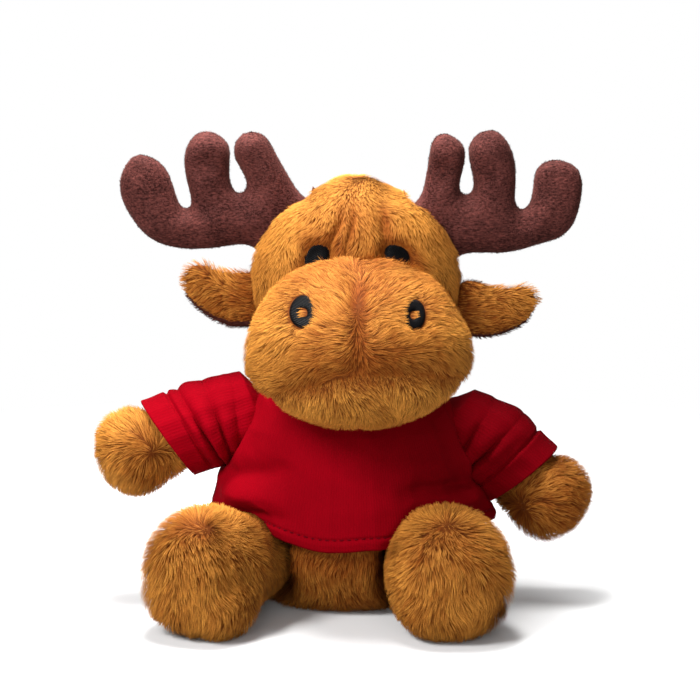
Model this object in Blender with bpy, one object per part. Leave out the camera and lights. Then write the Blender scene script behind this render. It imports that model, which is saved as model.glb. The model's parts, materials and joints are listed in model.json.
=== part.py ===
"""A seated plush moose in a T-shirt, built as its separate sewn and stuffed pieces.

Metres, +Z up. The toy faces -Y, and left and right are its own sides, so left is +X.
The origin lies on the surface that the toy sits on, under the middle of its seat.
Every stuffed member is a skin, open where it is sewn on, with its filling inside.
"""
import math
from dataclasses import dataclass

import bmesh
import bpy
from mathutils import Matrix, Vector
from mathutils.geometry import delaunay_2d_cdt

# Fits and cloth
GAP = 0.0003
PLUSH = 0.0025
VELBOA = 0.0015
JERSEY = 0.0012
EMBROIDERY = 0.0009
SEAT_FLAT = 0.0005
OVERRUN = 0.02

# Body
BODY_HEIGHT = 0.0955
BODY_WIDTH = 0.102
BODY_DEPTH = 0.078
BODY_CENTRE_X = -0.001
BODY_CENTRE_Y = -0.003

# Head: it sinks a little over the body's top, and its features lie by their rise from its base
HEAD_SINK = 0.0055
HEAD_HEIGHT = 0.0735
HEAD_WIDTH = 0.084
HEAD_DEPTH = 0.066
HEAD_CENTRE_X = 0.0005
HEAD_CENTRE_Y = 0.004
NECK_RADIUS = 0.014
NECK_OPENING_RADIUS = 0.009

# Muzzle and chin
MUZZLE_DROP = 0.016
MUZZLE_HEIGHT = 0.0630
MUZZLE_WIDTH = 0.085
MUZZLE_REACH = 0.056
MUZZLE_BACK = -0.012
MUZZLE_TUCK = 0.006
MUZZLE_CENTRE_X = 0.0015
MUZZLE_SEAM_DEPTH = 0.0022
MUZZLE_SEAM_WIDTH = 0.004
MOUTH_RISE = 0.008
MOUTH_ARCH_RADIUS = 0.11

# Embroidered eyes and nostrils
EYE_WIDTH = 0.009
EYE_HEIGHT = 0.0105
EYE_SPREAD = 0.0145
EYE_RISE = 0.0432
NOSTRIL_WIDTH = 0.0095
NOSTRIL_HEIGHT = 0.0102
NOSTRIL_BAND = 0.0022
NOSTRIL_SPREAD = 0.0197
NOSTRIL_RISE = 0.0281

# Antlers
RIGHT_ANTLER_SPAN = 0.050
RIGHT_ANTLER_RISE = 0.0448
LEFT_ANTLER_SPAN = 0.0453
LEFT_ANTLER_RISE = 0.0480
ANTLER_THICKNESS = 0.016
ANTLER_CENTRE_Y = 0.008
RIGHT_ANTLER_REACH = 0.0405
RIGHT_ANTLER_ROOT_RISE = 0.044
LEFT_ANTLER_REACH = 0.0415
LEFT_ANTLER_ROOT_RISE = 0.041
ANTLER_SPACING = 0.0085
ANTLER_EDGE_STEP = 0.0044
ANTLER_POCKET_DEPTH = 0.015

# Ears
EAR_LENGTH = 0.0240
EAR_WIDTH = 0.0250
EAR_THICKNESS = 0.0060
EAR_CENTRE_Y = 0.0
EAR_RIM = 0.0006
RIGHT_EAR_REACH = 0.0405
RIGHT_EAR_RISE = 0.0245
LEFT_EAR_REACH = 0.0425
LEFT_EAR_RISE = 0.0215
EAR_POCKET_DEPTH = 0.009
EAR_SPACING = 0.0056
EAR_EDGE_STEP = 0.0034

# Arms
ARM_LENGTH = 0.0555
ARM_ROOT_RADIUS = 0.0150
PAW_RADIUS = 0.0166
ARM_OPENING_RADIUS = 0.009
SHOULDER_CENTRE_Y = 0.0
RIGHT_SHOULDER_REACH = 0.0435
RIGHT_SHOULDER_DROP = 0.0252
LEFT_SHOULDER_REACH = 0.0430
LEFT_SHOULDER_DROP = 0.0313

# Legs
LEG_LENGTH = 0.0600
LEG_ROOT_RADIUS = 0.0170
LEG_OPENING_RADIUS = 0.010
FOOT_RADIUS = 0.0248
LEG_SWELL_RADIUS = 0.0232
HIP_CENTRE_Y = -0.020
HIP_HEIGHT = 0.0195
RIGHT_HIP_REACH = 0.0370
LEFT_HIP_REACH = 0.0290
SOLE_WIDTH = 0.031
SOLE_HEIGHT = 0.033
SOLE_DROP = 0.0035

# T-shirt
SHIRT_EASE = 0.0006
SHIRT_HEM_HEIGHT = 0.0275
SLEEVE_LENGTH = 0.0290
SLEEVE_ROOT_SETBACK = 0.010
NECKBAND_WIDTH = 0.0045
HEM_FOLD = 0.0005
HEM_BAND = 0.0055
CUFF_BAND = 0.0065

# Levels that follow from the sizes above
BODY_TOP = BODY_HEIGHT - SEAT_FLAT
HEAD_BASE = BODY_TOP - HEAD_SINK
MUZZLE_BASE = HEAD_BASE - MUZZLE_DROP
MOUTH_HEIGHT = HEAD_BASE + MOUTH_RISE

# How far each sewn joint bends, in degrees
RIGHT_ARM_DROOP = 18.0
LEFT_ARM_DROOP = 37.0
ARM_FORWARD = 9.0
ARM_RAISE = 20.0
ARM_LOWER = 10.0
RIGHT_LEG_SPLAY = 25.0
LEFT_LEG_SPLAY = 9.0
LEG_RAISE = 6.0
LEG_LOWER = 30.0
ANTLER_BEND = 12.0
EAR_BEND = 20.0
RIGHT_CUFF_SLANT = 22.0
LEFT_CUFF_SLANT = 16.0
RIGHT_EAR_TILT = 2.0
LEFT_EAR_TILT = -14.0
NOSTRIL_LEAN = 14.0

# Faces round each kind of form
BODY_SEGMENTS = 20
LIMB_SEGMENTS = 16
INNER_SEGMENTS = 12
CUTTER_SEGMENTS = 14
HINGE_SEGMENTS = 12
ROOT_STEPS = 4
FANS = 3
PUFF_STEPS = 6

# The first ring inside a puffed panel's edge lies at this share of its swelling width
RIM_SHARE = 0.22

# A faceted cutter is this much larger than the round form that it clears
FACET_SHARE = 1.03

# Points inside a panel keep at least this share of their spacing from its edge
EDGE_CLEAR_SHARE = 0.6

# Points of a pattern that lie nearer than this share of the gap would be one
MEETING_SHARE = 1e-6

# The mouth's seam is drawn this much wider than the muzzle
MOUTH_REACH_SHARE = 1.4

# Upright forms: height, width, depth and the shift of the middle, bottom to top
BODY_SHARES = (
    (0.000, 0.00, 0.00, 0.00),
    (0.004, 0.44, 0.44, 0.00),
    (0.030, 0.72, 0.72, 0.00),
    (0.100, 0.90, 0.89, 0.00),
    (0.210, 0.99, 0.98, -0.01),
    (0.330, 1.00, 1.00, -0.02),
    (0.450, 0.97, 0.97, -0.01),
    (0.580, 0.91, 0.89, 0.00),
    (0.710, 0.82, 0.79, 0.00),
    (0.820, 0.70, 0.67, 0.00),
    (0.910, 0.52, 0.52, 0.00),
    (0.970, 0.30, 0.32, 0.00),
    (1.000, 0.00, 0.00, 0.00),
)
HEAD_SHARES = (
    (0.000, 0.00, 0.00, 0.00),
    (0.020, 0.36, 0.36, 0.00),
    (0.090, 0.70, 0.70, 0.00),
    (0.200, 0.90, 0.91, 0.00),
    (0.330, 0.99, 1.00, 0.00),
    (0.470, 1.00, 1.00, 0.00),
    (0.600, 0.975, 0.96, 0.01),
    (0.720, 0.885, 0.87, 0.02),
    (0.830, 0.715, 0.72, 0.03),
    (0.915, 0.490, 0.50, 0.03),
    (0.975, 0.250, 0.26, 0.03),
    (1.000, 0.000, 0.00, 0.03),
)
MUZZLE_SHARES = (
    (0.00, 0.00, 0.00, 0.62),
    (0.03, 0.36, 0.36, 0.60),
    (0.11, 0.64, 0.66, 0.58),
    (0.22, 0.87, 0.88, 0.54),
    (0.34, 0.99, 0.99, 0.50),
    (0.46, 1.00, 1.00, 0.50),
    (0.58, 0.95, 0.96, 0.48),
    (0.70, 0.86, 0.87, 0.43),
    (0.81, 0.74, 0.73, 0.37),
    (0.91, 0.54, 0.50, 0.30),
    (0.975, 0.31, 0.26, 0.25),
    (1.00, 0.00, 0.00, 0.22),
)

# Limbs: place as a share of the length, then height and width as shares of the fattest
ARM_SHARES = (
    (0.26, 0.86, 0.86),
    (0.44, 0.79, 0.79),
    (0.56, 0.79, 0.79),
    (0.66, 0.95, 0.95),
    (0.76, 1.00, 1.00),
    (0.87, 0.90, 0.90),
    (0.95, 0.63, 0.63),
    (0.99, 0.28, 0.28),
    (1.00, 0.00, 0.00),
)
SLEEVE_SHARES = (
    (0.26, 0.87, 0.87),
    (0.44, 0.84, 0.84),
    (0.60, 0.90, 0.90),
    (0.75, 0.92, 0.92),
)
LEG_SHARES = (
    (0.26, 0.79, 0.77),
    (0.38, 0.88, 0.82),
    (0.52, 0.96, 0.90),
    (0.68, 1.00, 0.93),
    (0.82, 0.93, 0.86),
    (0.93, 0.74, 0.69),
    (0.985, 0.42, 0.39),
    (1.00, 0.00, 0.00),
)

# Antlers from the lower root corner: outward share of the span, upward share of the rise.
# Both are cut alike, but the left one is stuffed more upright.
RIGHT_ANTLER_SHARES = (
    (0.00, 0.00),
    (0.28, -0.016),
    (0.51, -0.034),
    (0.78, 0.08),
    (0.95, 0.33),
    (1.00, 0.50),
    (0.98, 0.64),
    (0.91, 0.77),
    (0.83, 0.815),
    (0.71, 0.77),
    (0.61, 0.67),
    (0.56, 0.53),
    (0.515, 0.35),
    (0.47, 0.29),
    (0.43, 0.35),
    (0.465, 0.49),
    (0.50, 0.69),
    (0.485, 0.83),
    (0.41, 0.955),
    (0.32, 1.00),
    (0.20, 0.94),
    (0.150, 0.83),
    (0.145, 0.68),
    (0.110, 0.50),
    (0.060, 0.44),
    (0.020, 0.50),
    (0.050, 0.61),
    (0.095, 0.76),
    (0.085, 0.89),
    (0.01, 0.98),
    (-0.08, 0.99),
    (-0.17, 0.93),
    (-0.26, 0.715),
    (-0.385, 0.487),
    (-0.46, 0.414),
    (-0.535, 0.342),
    (-0.439, 0.220),
    (-0.343, 0.098),
    (-0.246, -0.025),
    (-0.15, -0.147),
    (-0.075, -0.07),
)
LEFT_ANTLER_SHARES = (
    (0.00, 0.00),
    (0.37, 0.006),
    (0.60, 0.056),
    (0.82, 0.13),
    (0.94, 0.25),
    (0.995, 0.41),
    (1.00, 0.56),
    (0.97, 0.67),
    (0.875, 0.745),
    (0.735, 0.77),
    (0.635, 0.74),
    (0.565, 0.67),
    (0.55, 0.53),
    (0.52, 0.39),
    (0.48, 0.345),
    (0.435, 0.42),
    (0.44, 0.59),
    (0.43, 0.78),
    (0.37, 0.905),
    (0.28, 0.985),
    (0.19, 1.00),
    (0.075, 0.92),
    (0.055, 0.78),
    (0.065, 0.62),
    (0.055, 0.505),
    (0.010, 0.455),
    (-0.035, 0.50),
    (-0.025, 0.63),
    (-0.010, 0.78),
    (-0.015, 0.86),
    (-0.080, 0.935),
    (-0.17, 0.985),
    (-0.25, 0.96),
    (-0.31, 0.865),
    (-0.325, 0.72),
    (-0.38, 0.465),
    (-0.47, 0.40),
    (-0.555, 0.338),
    (-0.46, 0.222),
    (-0.365, 0.106),
    (-0.27, -0.011),
    (-0.175, -0.127),
    (-0.09, -0.065),
)
RIGHT_ANTLER_ROOT_SHARES = ((-0.535, 0.342), (-0.15, -0.147))
LEFT_ANTLER_ROOT_SHARES = ((-0.555, 0.338), (-0.175, -0.127))

# Ear panels from the middle of the root: outward share of the length, upward of the width
EAR_OUTLINE_SHARES = (
    (0.00, -0.40),
    (0.32, -0.33),
    (0.61, -0.18),
    (0.86, 0.02),
    (0.94, 0.21),
    (1.00, 0.40),
    (0.93, 0.52),
    (0.73, 0.57),
    (0.48, 0.45),
    (0.25, 0.43),
    (0.00, 0.45),
    (-0.16, 0.43),
    (-0.22, 0.34),
    (-0.22, -0.30),
    (-0.16, -0.38),
)
EAR_LINING_SHARES = (
    (0.00, -0.41),
    (0.34, -0.40),
    (0.68, -0.23),
    (0.95, 0.00),
    (1.00, 0.20),
    (0.99, 0.36),
    (0.90, 0.48),
    (0.72, 0.52),
    (0.48, 0.42),
    (0.25, 0.40),
    (0.00, 0.42),
    (-0.16, 0.40),
    (-0.22, 0.34),
    (-0.22, -0.30),
    (-0.16, -0.38),
)
EAR_ROOT_SHARES = ((-0.22, 0.34), (-0.22, -0.30))

CARAMEL = (0.52, 0.20, 0.05)
DARK_CARAMEL = (0.36, 0.13, 0.035)
ANTLER_BROWN = (0.115, 0.035, 0.032)
SHIRT_RED = (0.52, 0.004, 0.012)
THREAD_BLACK = (0.012, 0.012, 0.013)
FIBRE_WHITE = (0.80, 0.79, 0.76)


@dataclass(frozen=True)
class Side:
    """The places and angles that differ between the toy's right and left."""

    name: str
    sign: int
    shoulder_reach: float
    shoulder_height: float
    arm_droop: float
    cuff_slant: float
    hip_reach: float
    leg_splay: float
    antler_reach: float
    antler_level: float
    antler_span: float
    antler_rise: float
    antler_shares: tuple
    antler_root_shares: tuple
    ear_reach: float
    ear_level: float
    ear_tilt: float


RIGHT = Side(
    name="right",
    sign=-1,
    shoulder_reach=RIGHT_SHOULDER_REACH,
    shoulder_height=BODY_TOP - RIGHT_SHOULDER_DROP,
    arm_droop=RIGHT_ARM_DROOP,
    cuff_slant=RIGHT_CUFF_SLANT,
    hip_reach=RIGHT_HIP_REACH,
    leg_splay=RIGHT_LEG_SPLAY,
    antler_reach=RIGHT_ANTLER_REACH,
    antler_level=HEAD_BASE + RIGHT_ANTLER_ROOT_RISE,
    antler_span=RIGHT_ANTLER_SPAN,
    antler_rise=RIGHT_ANTLER_RISE,
    antler_shares=RIGHT_ANTLER_SHARES,
    antler_root_shares=RIGHT_ANTLER_ROOT_SHARES,
    ear_reach=RIGHT_EAR_REACH,
    ear_level=HEAD_BASE + RIGHT_EAR_RISE,
    ear_tilt=RIGHT_EAR_TILT,
)
LEFT = Side(
    name="left",
    sign=1,
    shoulder_reach=LEFT_SHOULDER_REACH,
    shoulder_height=BODY_TOP - LEFT_SHOULDER_DROP,
    arm_droop=LEFT_ARM_DROOP,
    cuff_slant=LEFT_CUFF_SLANT,
    hip_reach=LEFT_HIP_REACH,
    leg_splay=LEFT_LEG_SPLAY,
    antler_reach=LEFT_ANTLER_REACH,
    antler_level=HEAD_BASE + LEFT_ANTLER_ROOT_RISE,
    antler_span=LEFT_ANTLER_SPAN,
    antler_rise=LEFT_ANTLER_RISE,
    antler_shares=LEFT_ANTLER_SHARES,
    antler_root_shares=LEFT_ANTLER_ROOT_SHARES,
    ear_reach=LEFT_EAR_REACH,
    ear_level=HEAD_BASE + LEFT_EAR_RISE,
    ear_tilt=LEFT_EAR_TILT,
)


@dataclass(frozen=True)
class Station:
    """One ring of a lofted form: its middle, its two directions and its half sizes."""

    centre: Vector
    across: Vector
    along: Vector
    half_across: float
    half_along: float


def clear_scene():
    """Removes every object of the scene."""
    for item in list(bpy.data.objects):
        bpy.data.objects.remove(item, do_unlink=True)


def make_material(name, colour, roughness):
    """A Principled material of one colour."""
    material = bpy.data.materials.new(name)
    material.use_nodes = True
    shader = material.node_tree.nodes["Principled BSDF"]
    shader.inputs["Base Color"].default_value = (*colour, 1.0)
    shader.inputs["Roughness"].default_value = roughness
    shader.inputs["Metallic"].default_value = 0.0
    return material


def make_object(name, mesh_data, material=None):
    """Turns a bmesh into a linked object with smooth rounded faces."""
    bmesh.ops.recalc_face_normals(mesh_data, faces=mesh_data.faces)
    mesh = bpy.data.meshes.new(name)
    mesh_data.to_mesh(mesh)
    mesh_data.free()
    mesh.shade_smooth()
    mesh.set_sharp_from_angle(angle=math.radians(50.0))
    if material is not None:
        mesh.materials.append(material)
    piece = bpy.data.objects.new(name, mesh)
    bpy.context.scene.collection.objects.link(piece)
    return piece


def ring_points(station, segments):
    """Points round one station of a lofted form."""
    points = []
    for step in range(segments):
        turn = 2.0 * math.pi * (step + 0.5) / segments
        sideways = station.across * (station.half_across * math.cos(turn))
        lengthways = station.along * (station.half_along * math.sin(turn))
        points.append(station.centre + sideways + lengthways)
    return points


def loft(name, stations, segments, material=None, shape=None):
    """A closed form through its stations; a ring of no size closes it in a pole."""
    data = bmesh.new()
    rings = []
    for station in stations:
        if station.half_across <= 0.0:
            rings.append([data.verts.new(station.centre)])
            continue
        points = ring_points(station, segments)
        if shape is not None:
            points = [shape(point, station) for point in points]
        rings.append([data.verts.new(point) for point in points])
    for lower, upper in zip(rings, rings[1:]):
        for step in range(segments):
            following = (step + 1) % segments
            if len(lower) == 1:
                data.faces.new((lower[0], upper[step], upper[following]))
            elif len(upper) == 1:
                data.faces.new((lower[step], upper[0], lower[following]))
            else:
                data.faces.new((lower[step], upper[step], upper[following], lower[following]))
    for ring in (rings[0], rings[-1]):
        if len(ring) > 1:
            data.faces.new(ring)
    return make_object(name, data, material)


def evaluated_copy(piece):
    """The mesh of an object with its modifiers applied."""
    graph = bpy.context.evaluated_depsgraph_get()
    return bpy.data.meshes.new_from_object(piece.evaluated_get(graph))


def combine(piece, other, operation):
    """Applies one Boolean between two objects and removes the second one."""
    modifier = piece.modifiers.new(operation.lower(), "BOOLEAN")
    modifier.operation = operation
    modifier.solver = "EXACT"
    modifier.object = other
    mesh = evaluated_copy(piece)
    old_mesh = piece.data
    piece.modifiers.clear()
    piece.data = mesh
    bpy.data.meshes.remove(old_mesh)
    bpy.data.objects.remove(other, do_unlink=True)
    return piece


def cut(piece, *cutters):
    """Takes each cutter away from the piece."""
    for cutter in cutters:
        combine(piece, cutter, "DIFFERENCE")
    return piece


def keep_inside(piece, other):
    """Keeps only what the piece shares with the other solid."""
    return combine(piece, other, "INTERSECT")


def place_origin(piece, point):
    """Moves the object's origin to a point without moving its mesh in space."""
    piece.data.transform(Matrix.Translation(-point))
    piece.location = point
    return piece


def block(name, low, high):
    """A box between two corners."""
    data = bmesh.new()
    bmesh.ops.create_cube(data, size=1.0)
    for vertex in data.verts:
        for axis in range(3):
            middle = (low[axis] + high[axis]) / 2.0
            vertex.co[axis] = middle + vertex.co[axis] * (high[axis] - low[axis])
    return make_object(name, data)


def rod(name, start, end, half_wide, half_high, high_axis):
    """A straight bar of oval section between two points."""
    axis = (end - start).normalized()
    high = (high_axis - axis * high_axis.dot(axis)).normalized()
    wide = axis.cross(high)
    stations = [Station(start, wide, high, half_wide, half_high)]
    stations.append(Station(end, wide, high, half_wide, half_high))
    return loft(name, stations, CUTTER_SEGMENTS)


def upright_stations(shares, base, height, width, depth, middle, slide, grow):
    """Stations of an upright form, each size grown by the same wall on every side."""
    stations = []
    for level, wide, deep, shift in shares:
        height_here = base - grow + level * (height + 2.0 * grow)
        centre = Vector((middle[0], middle[1] + shift * slide, height_here))
        half_wide = wide * (width / 2.0 + grow)
        half_deep = deep * (depth / 2.0 + grow)
        stations.append(Station(centre, Vector((1, 0, 0)), Vector((0, 1, 0)), half_wide, half_deep))
    return stations


def segments_for(grow, segments=BODY_SEGMENTS):
    """Hollows and fillings, which lie inside the skin, have fewer faces."""
    return INNER_SEGMENTS if grow < 0.0 else segments


def body_form(name, grow, material=None, width=BODY_WIDTH, depth=BODY_DEPTH):
    """The stuffed body, or the space of it grown by a wall."""
    middle = (BODY_CENTRE_X, BODY_CENTRE_Y)
    stations = upright_stations(
        BODY_SHARES, -SEAT_FLAT, BODY_HEIGHT, width, depth, middle, BODY_DEPTH, grow
    )
    return loft(name, stations, segments_for(grow), material)


def head_form(name, grow, material=None):
    """The stuffed head, or the space of it grown by a wall."""
    middle = (HEAD_CENTRE_X, HEAD_CENTRE_Y)
    stations = upright_stations(
        HEAD_SHARES, HEAD_BASE, HEAD_HEIGHT, HEAD_WIDTH, HEAD_DEPTH, middle, HEAD_DEPTH, grow
    )
    return loft(name, stations, segments_for(grow), material)


def sew_in_muzzle_seam(point, station):
    """Draws the muzzle in along the upright seam of its front."""
    offset = point.x - MUZZLE_CENTRE_X
    if point.y > station.centre.y:
        return point
    draw = MUZZLE_SEAM_DEPTH * math.exp(-((offset / MUZZLE_SEAM_WIDTH) ** 2))
    return point + Vector((0.0, draw, 0.0))


def muzzle_form(name, grow, material=None):
    """The muzzle with its chin, or the space of it grown by a wall."""
    middle = (MUZZLE_CENTRE_X, MUZZLE_BACK)
    stations = upright_stations(
        MUZZLE_SHARES, MUZZLE_BASE, MUZZLE_HEIGHT, MUZZLE_WIDTH, MUZZLE_REACH, middle,
        -MUZZLE_REACH, grow,
    )
    return loft(name, stations, segments_for(grow), material, sew_in_muzzle_seam)


def turning_space(name, grow):
    """The body spun about the neck: what a turning head has to clear."""
    breadth = BODY_WIDTH * FACET_SHARE
    return body_form(name, grow, width=breadth, depth=breadth)


def limb_stations(pivot, axis, upward, root_radius, shares, length, fat_radius, grow):
    """Stations of a limb: a ball round its pivot, then the swelling and tapering tube."""
    sideways = axis.cross(upward).normalized()
    stations = []
    for step in range(ROOT_STEPS + 1):
        turn = 0.5 * math.pi * step / ROOT_STEPS
        radius = (root_radius + grow) * math.sin(turn)
        centre = pivot - axis * ((root_radius + grow) * math.cos(turn))
        stations.append(Station(centre, sideways, upward, radius, radius))
    for place, high, wide in shares:
        half_high = high * fat_radius + grow if high > 0.0 else 0.0
        half_wide = wide * fat_radius + grow if wide > 0.0 else 0.0
        centre = pivot + axis * (place * (length + grow))
        stations.append(Station(centre, sideways, upward, half_wide, half_high))
    return stations


def ball_points(centre, radius):
    """Points spread evenly over a ball."""
    data = bmesh.new()
    bmesh.ops.create_icosphere(data, subdivisions=3, radius=radius)
    points = [centre + vertex.co for vertex in data.verts]
    data.free()
    return points


def circle_points(centre, radius, axis):
    """Points round a circle whose axis is given."""
    across = axis.orthogonal().normalized()
    turns = [2.0 * math.pi * step / HINGE_SEGMENTS for step in range(HINGE_SEGMENTS)]
    return [centre + Matrix.Rotation(turn, 3, axis) @ (across * radius) for turn in turns]


def swing_space(name, ends, radii, reach, hinge, outward, angles):
    """The space that a root sweeps: a ball, or a rod along its hinge, swung outward."""
    data = bmesh.new()
    centres = list(ends)
    for angle in angles:
        direction = Matrix.Rotation(math.radians(angle), 3, hinge) @ outward
        centres += [end + direction * reach for end in ends]
    for index, centre in enumerate(centres):
        radius = radii[0] if index < len(ends) else radii[1]
        clear_radius = radius * FACET_SHARE + GAP
        if len(ends) == 1:
            points = ball_points(centre, clear_radius)
        else:
            overhang = hinge * (GAP if index % 2 else -GAP)
            points = circle_points(centre + overhang, clear_radius, hinge)
        for point in points:
            data.verts.new(point)
    hull = bmesh.ops.convex_hull(data, input=data.verts)
    inner = [item for item in hull["geom_interior"] if isinstance(item, bmesh.types.BMVert)]
    bmesh.ops.delete(data, geom=inner, context="VERTS")
    return make_object(name, data)


def spread_angles(low, high):
    """Angles from one limit to the other, in even steps."""
    return [low + (high - low) * step / FANS for step in range(FANS + 1)]


def smooth_outline(points, spacing):
    """A smooth closed curve through the points, as points at an even spacing."""
    fine = []
    count = len(points)
    for index in range(count):
        before, start, end, after = (points[(index + step) % count] for step in (-1, 0, 1, 2))
        for step in range(PUFF_STEPS):
            share = step / PUFF_STEPS
            square = share * share
            cube = square * share
            fine.append(
                0.5 * (
                    2.0 * start
                    + (end - before) * share
                    + (2.0 * before - 5.0 * start + 4.0 * end - after) * square
                    + (3.0 * start - before - 3.0 * end + after) * cube
                )
            )
    lengths = [(fine[(index + 1) % len(fine)] - fine[index]).length for index in range(len(fine))]
    total = sum(lengths)
    steps = max(8, round(total / spacing))
    result = []
    walked = 0.0
    index = 0
    for step in range(steps):
        target = total * step / steps
        while walked + lengths[index] < target:
            walked += lengths[index]
            index += 1
        share = (target - walked) / lengths[index]
        result.append(fine[index].lerp(fine[(index + 1) % len(fine)], share))
    return result


def inset_outline(outline, distance):
    """The outline moved inward along its normals; it runs counter-clockwise."""
    count = len(outline)
    result = []
    for index in range(count):
        tangent = outline[(index + 1) % count] - outline[index - 1]
        inward = Vector((-tangent.y, tangent.x)).normalized()
        result.append(outline[index] + inward * distance)
    return result


def edge_distance(point, outline):
    """How far a point lies from the outline."""
    best = None
    for index, start in enumerate(outline):
        end = outline[(index + 1) % len(outline)]
        edge = end - start
        share = max(0.0, min(1.0, (point - start).dot(edge) / edge.length_squared))
        distance = (point - start - edge * share).length
        if best is None or distance < best:
            best = distance
    return best


def is_inside(point, outline):
    """True where the point lies within the outline."""
    inside = False
    for index, start in enumerate(outline):
        end = outline[(index + 1) % len(outline)]
        if (start.y > point.y) == (end.y > point.y):
            continue
        crossing = start.x + (end.x - start.x) * (point.y - start.y) / (end.y - start.y)
        if crossing > point.x:
            inside = not inside
    return inside


def counter_clockwise(outline):
    """The outline in counter-clockwise order."""
    area = 0.0
    for index, start in enumerate(outline):
        end = outline[(index + 1) % len(outline)]
        area += start.x * end.y - end.x * start.y
    if area < 0.0:
        return list(reversed(outline))
    return outline


def pattern_points(outline, spacing):
    """Points inside a pattern in even rows, clear of its edge."""
    points = []
    low_x = min(point.x for point in outline)
    high_x = max(point.x for point in outline)
    low_y = min(point.y for point in outline)
    high_y = max(point.y for point in outline)
    row_step = spacing * math.sqrt(0.75)
    for row in range(1, math.ceil((high_y - low_y) / row_step)):
        offset = 0.5 * spacing * (row % 2)
        for column in range(math.ceil((high_x - low_x) / spacing) + 1):
            point = Vector((low_x + offset + column * spacing, low_y + row * row_step))
            clear = edge_distance(point, outline) > EDGE_CLEAR_SHARE * spacing
            if clear and is_inside(point, outline):
                points.append(point)
    return points


def puffed_panel(name, outline, spacing, front, back, middle_y, material=None, shrink=0.0):
    """Two panels sewn round an outline: front and back are their swell at edge and middle.

    With shrink it is the same form drawn in on every side, as a filling fits its cover.
    """
    puff = max(front[1], back[1])
    inner = pattern_points(outline, spacing)
    points = list(outline) + inset_outline(outline, RIM_SHARE * puff) + inner
    edge = [(index, (index + 1) % len(outline)) for index in range(len(outline))]
    flat_points, _, faces, _, _, _ = delaunay_2d_cdt(points, edge, [], 1, GAP * MEETING_SHARE)
    drawn_in = inset_outline(outline, 2.0 * shrink)
    drawn_in += inset_outline(outline, RIM_SHARE * puff + 2.0 * shrink)
    drawn_in += inner
    data = bmesh.new()
    fronts = []
    backs = []
    for flat, point in zip(flat_points, drawn_in):
        depth = min(1.0, edge_distance(flat, outline) / puff)
        swell = math.sqrt(1.0 - (1.0 - depth) ** 2)
        y_front = middle_y - front[0] - (front[1] - front[0]) * swell + shrink
        y_back = middle_y + back[0] + (back[1] - back[0]) * swell - shrink
        fronts.append(data.verts.new((point.x, y_front, point.y)))
        backs.append(data.verts.new((point.x, y_back, point.y)))
    for face in faces:
        data.faces.new([fronts[index] for index in face])
        data.faces.new([backs[index] for index in reversed(face)])
    for start, end in edge:
        data.faces.new((fronts[end], fronts[start], backs[start], backs[end]))
    return make_object(name, data, material)


def neck_axis_point(height):
    """A point on the upright axis that the head turns about."""
    return Vector((BODY_CENTRE_X, BODY_CENTRE_Y, height))


def floor_block():
    """Everything below the surface that the toy sits on."""
    reach = BODY_WIDTH + LEG_LENGTH + FOOT_RADIUS
    return block("floor_cutter", (-reach, -reach, -reach), (reach, reach, 0.0))


def neck_rod(name, radius, low, high):
    """An upright rod on the neck's axis."""
    return rod(name, neck_axis_point(low), neck_axis_point(high), radius, radius, Vector((0, 1, 0)))


class Shoulder:
    """Where one arm is sewn on, and how it lies."""

    def __init__(self, side):
        x = BODY_CENTRE_X + side.sign * side.shoulder_reach
        self.pivot = Vector((x, SHOULDER_CENTRE_Y, side.shoulder_height))
        droop = math.radians(side.arm_droop)
        forward = math.radians(ARM_FORWARD)
        level = Vector((side.sign * math.cos(forward), -math.sin(forward), 0.0))
        self.axis = level * math.cos(droop) - Vector((0, 0, 1)) * math.sin(droop)
        self.upward = level * math.sin(droop) + Vector((0, 0, 1)) * math.cos(droop)
        self.hinge = Vector((0, -side.sign, 0))

    def clearance(self, name):
        """What the body and the shirt leave free for the arm in its sleeve."""
        radius = ARM_ROOT_RADIUS + GAP + JERSEY
        angles = spread_angles(-ARM_LOWER, ARM_RAISE)
        reach = ARM_LENGTH / 2.0
        return swing_space(name, [self.pivot], (radius, radius), reach, self.hinge, self.axis, angles)


class Hip:
    """Where one leg is sewn on, and how it lies."""

    def __init__(self, side):
        x = BODY_CENTRE_X + side.sign * side.hip_reach
        self.pivot = Vector((x, HIP_CENTRE_Y, HIP_HEIGHT))
        splay = math.radians(side.leg_splay)
        level = Vector((side.sign * math.sin(splay), -math.cos(splay), 0.0))
        rise = math.asin((FOOT_RADIUS - SEAT_FLAT - HIP_HEIGHT) / LEG_LENGTH)
        self.axis = level * math.cos(rise) + Vector((0, 0, 1)) * math.sin(rise)
        self.upward = Vector((0, 0, 1)) * math.cos(rise) - level * math.sin(rise)
        self.hinge = level.cross(Vector((0, 0, 1))).normalized()

    def clearance(self, name):
        """What the body and the shirt leave free for the leg."""
        angles = spread_angles(-LEG_LOWER, LEG_RAISE)
        reach = LEG_LENGTH / 2.0
        radii = (LEG_ROOT_RADIUS, LEG_SWELL_RADIUS)
        return swing_space(name, [self.pivot], radii, reach, self.hinge, self.axis, angles)


def hinge_ends(edge, corner, line, outward, half, pocket_depth, middle_y):
    """The two ends of the line that a puffed root folds about, half its thickness in."""
    deepest = min((point - corner).dot(outward) for point in edge)
    near = [point for point in edge if (point - corner).dot(outward) < deepest + pocket_depth]
    places = [(point - corner).dot(line) for point in near]
    start = corner + outward * (deepest + half)
    ends = [start + line * place for place in (min(places), max(places))]
    return [Vector((point.x, middle_y, point.y)) for point in ends]


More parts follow.
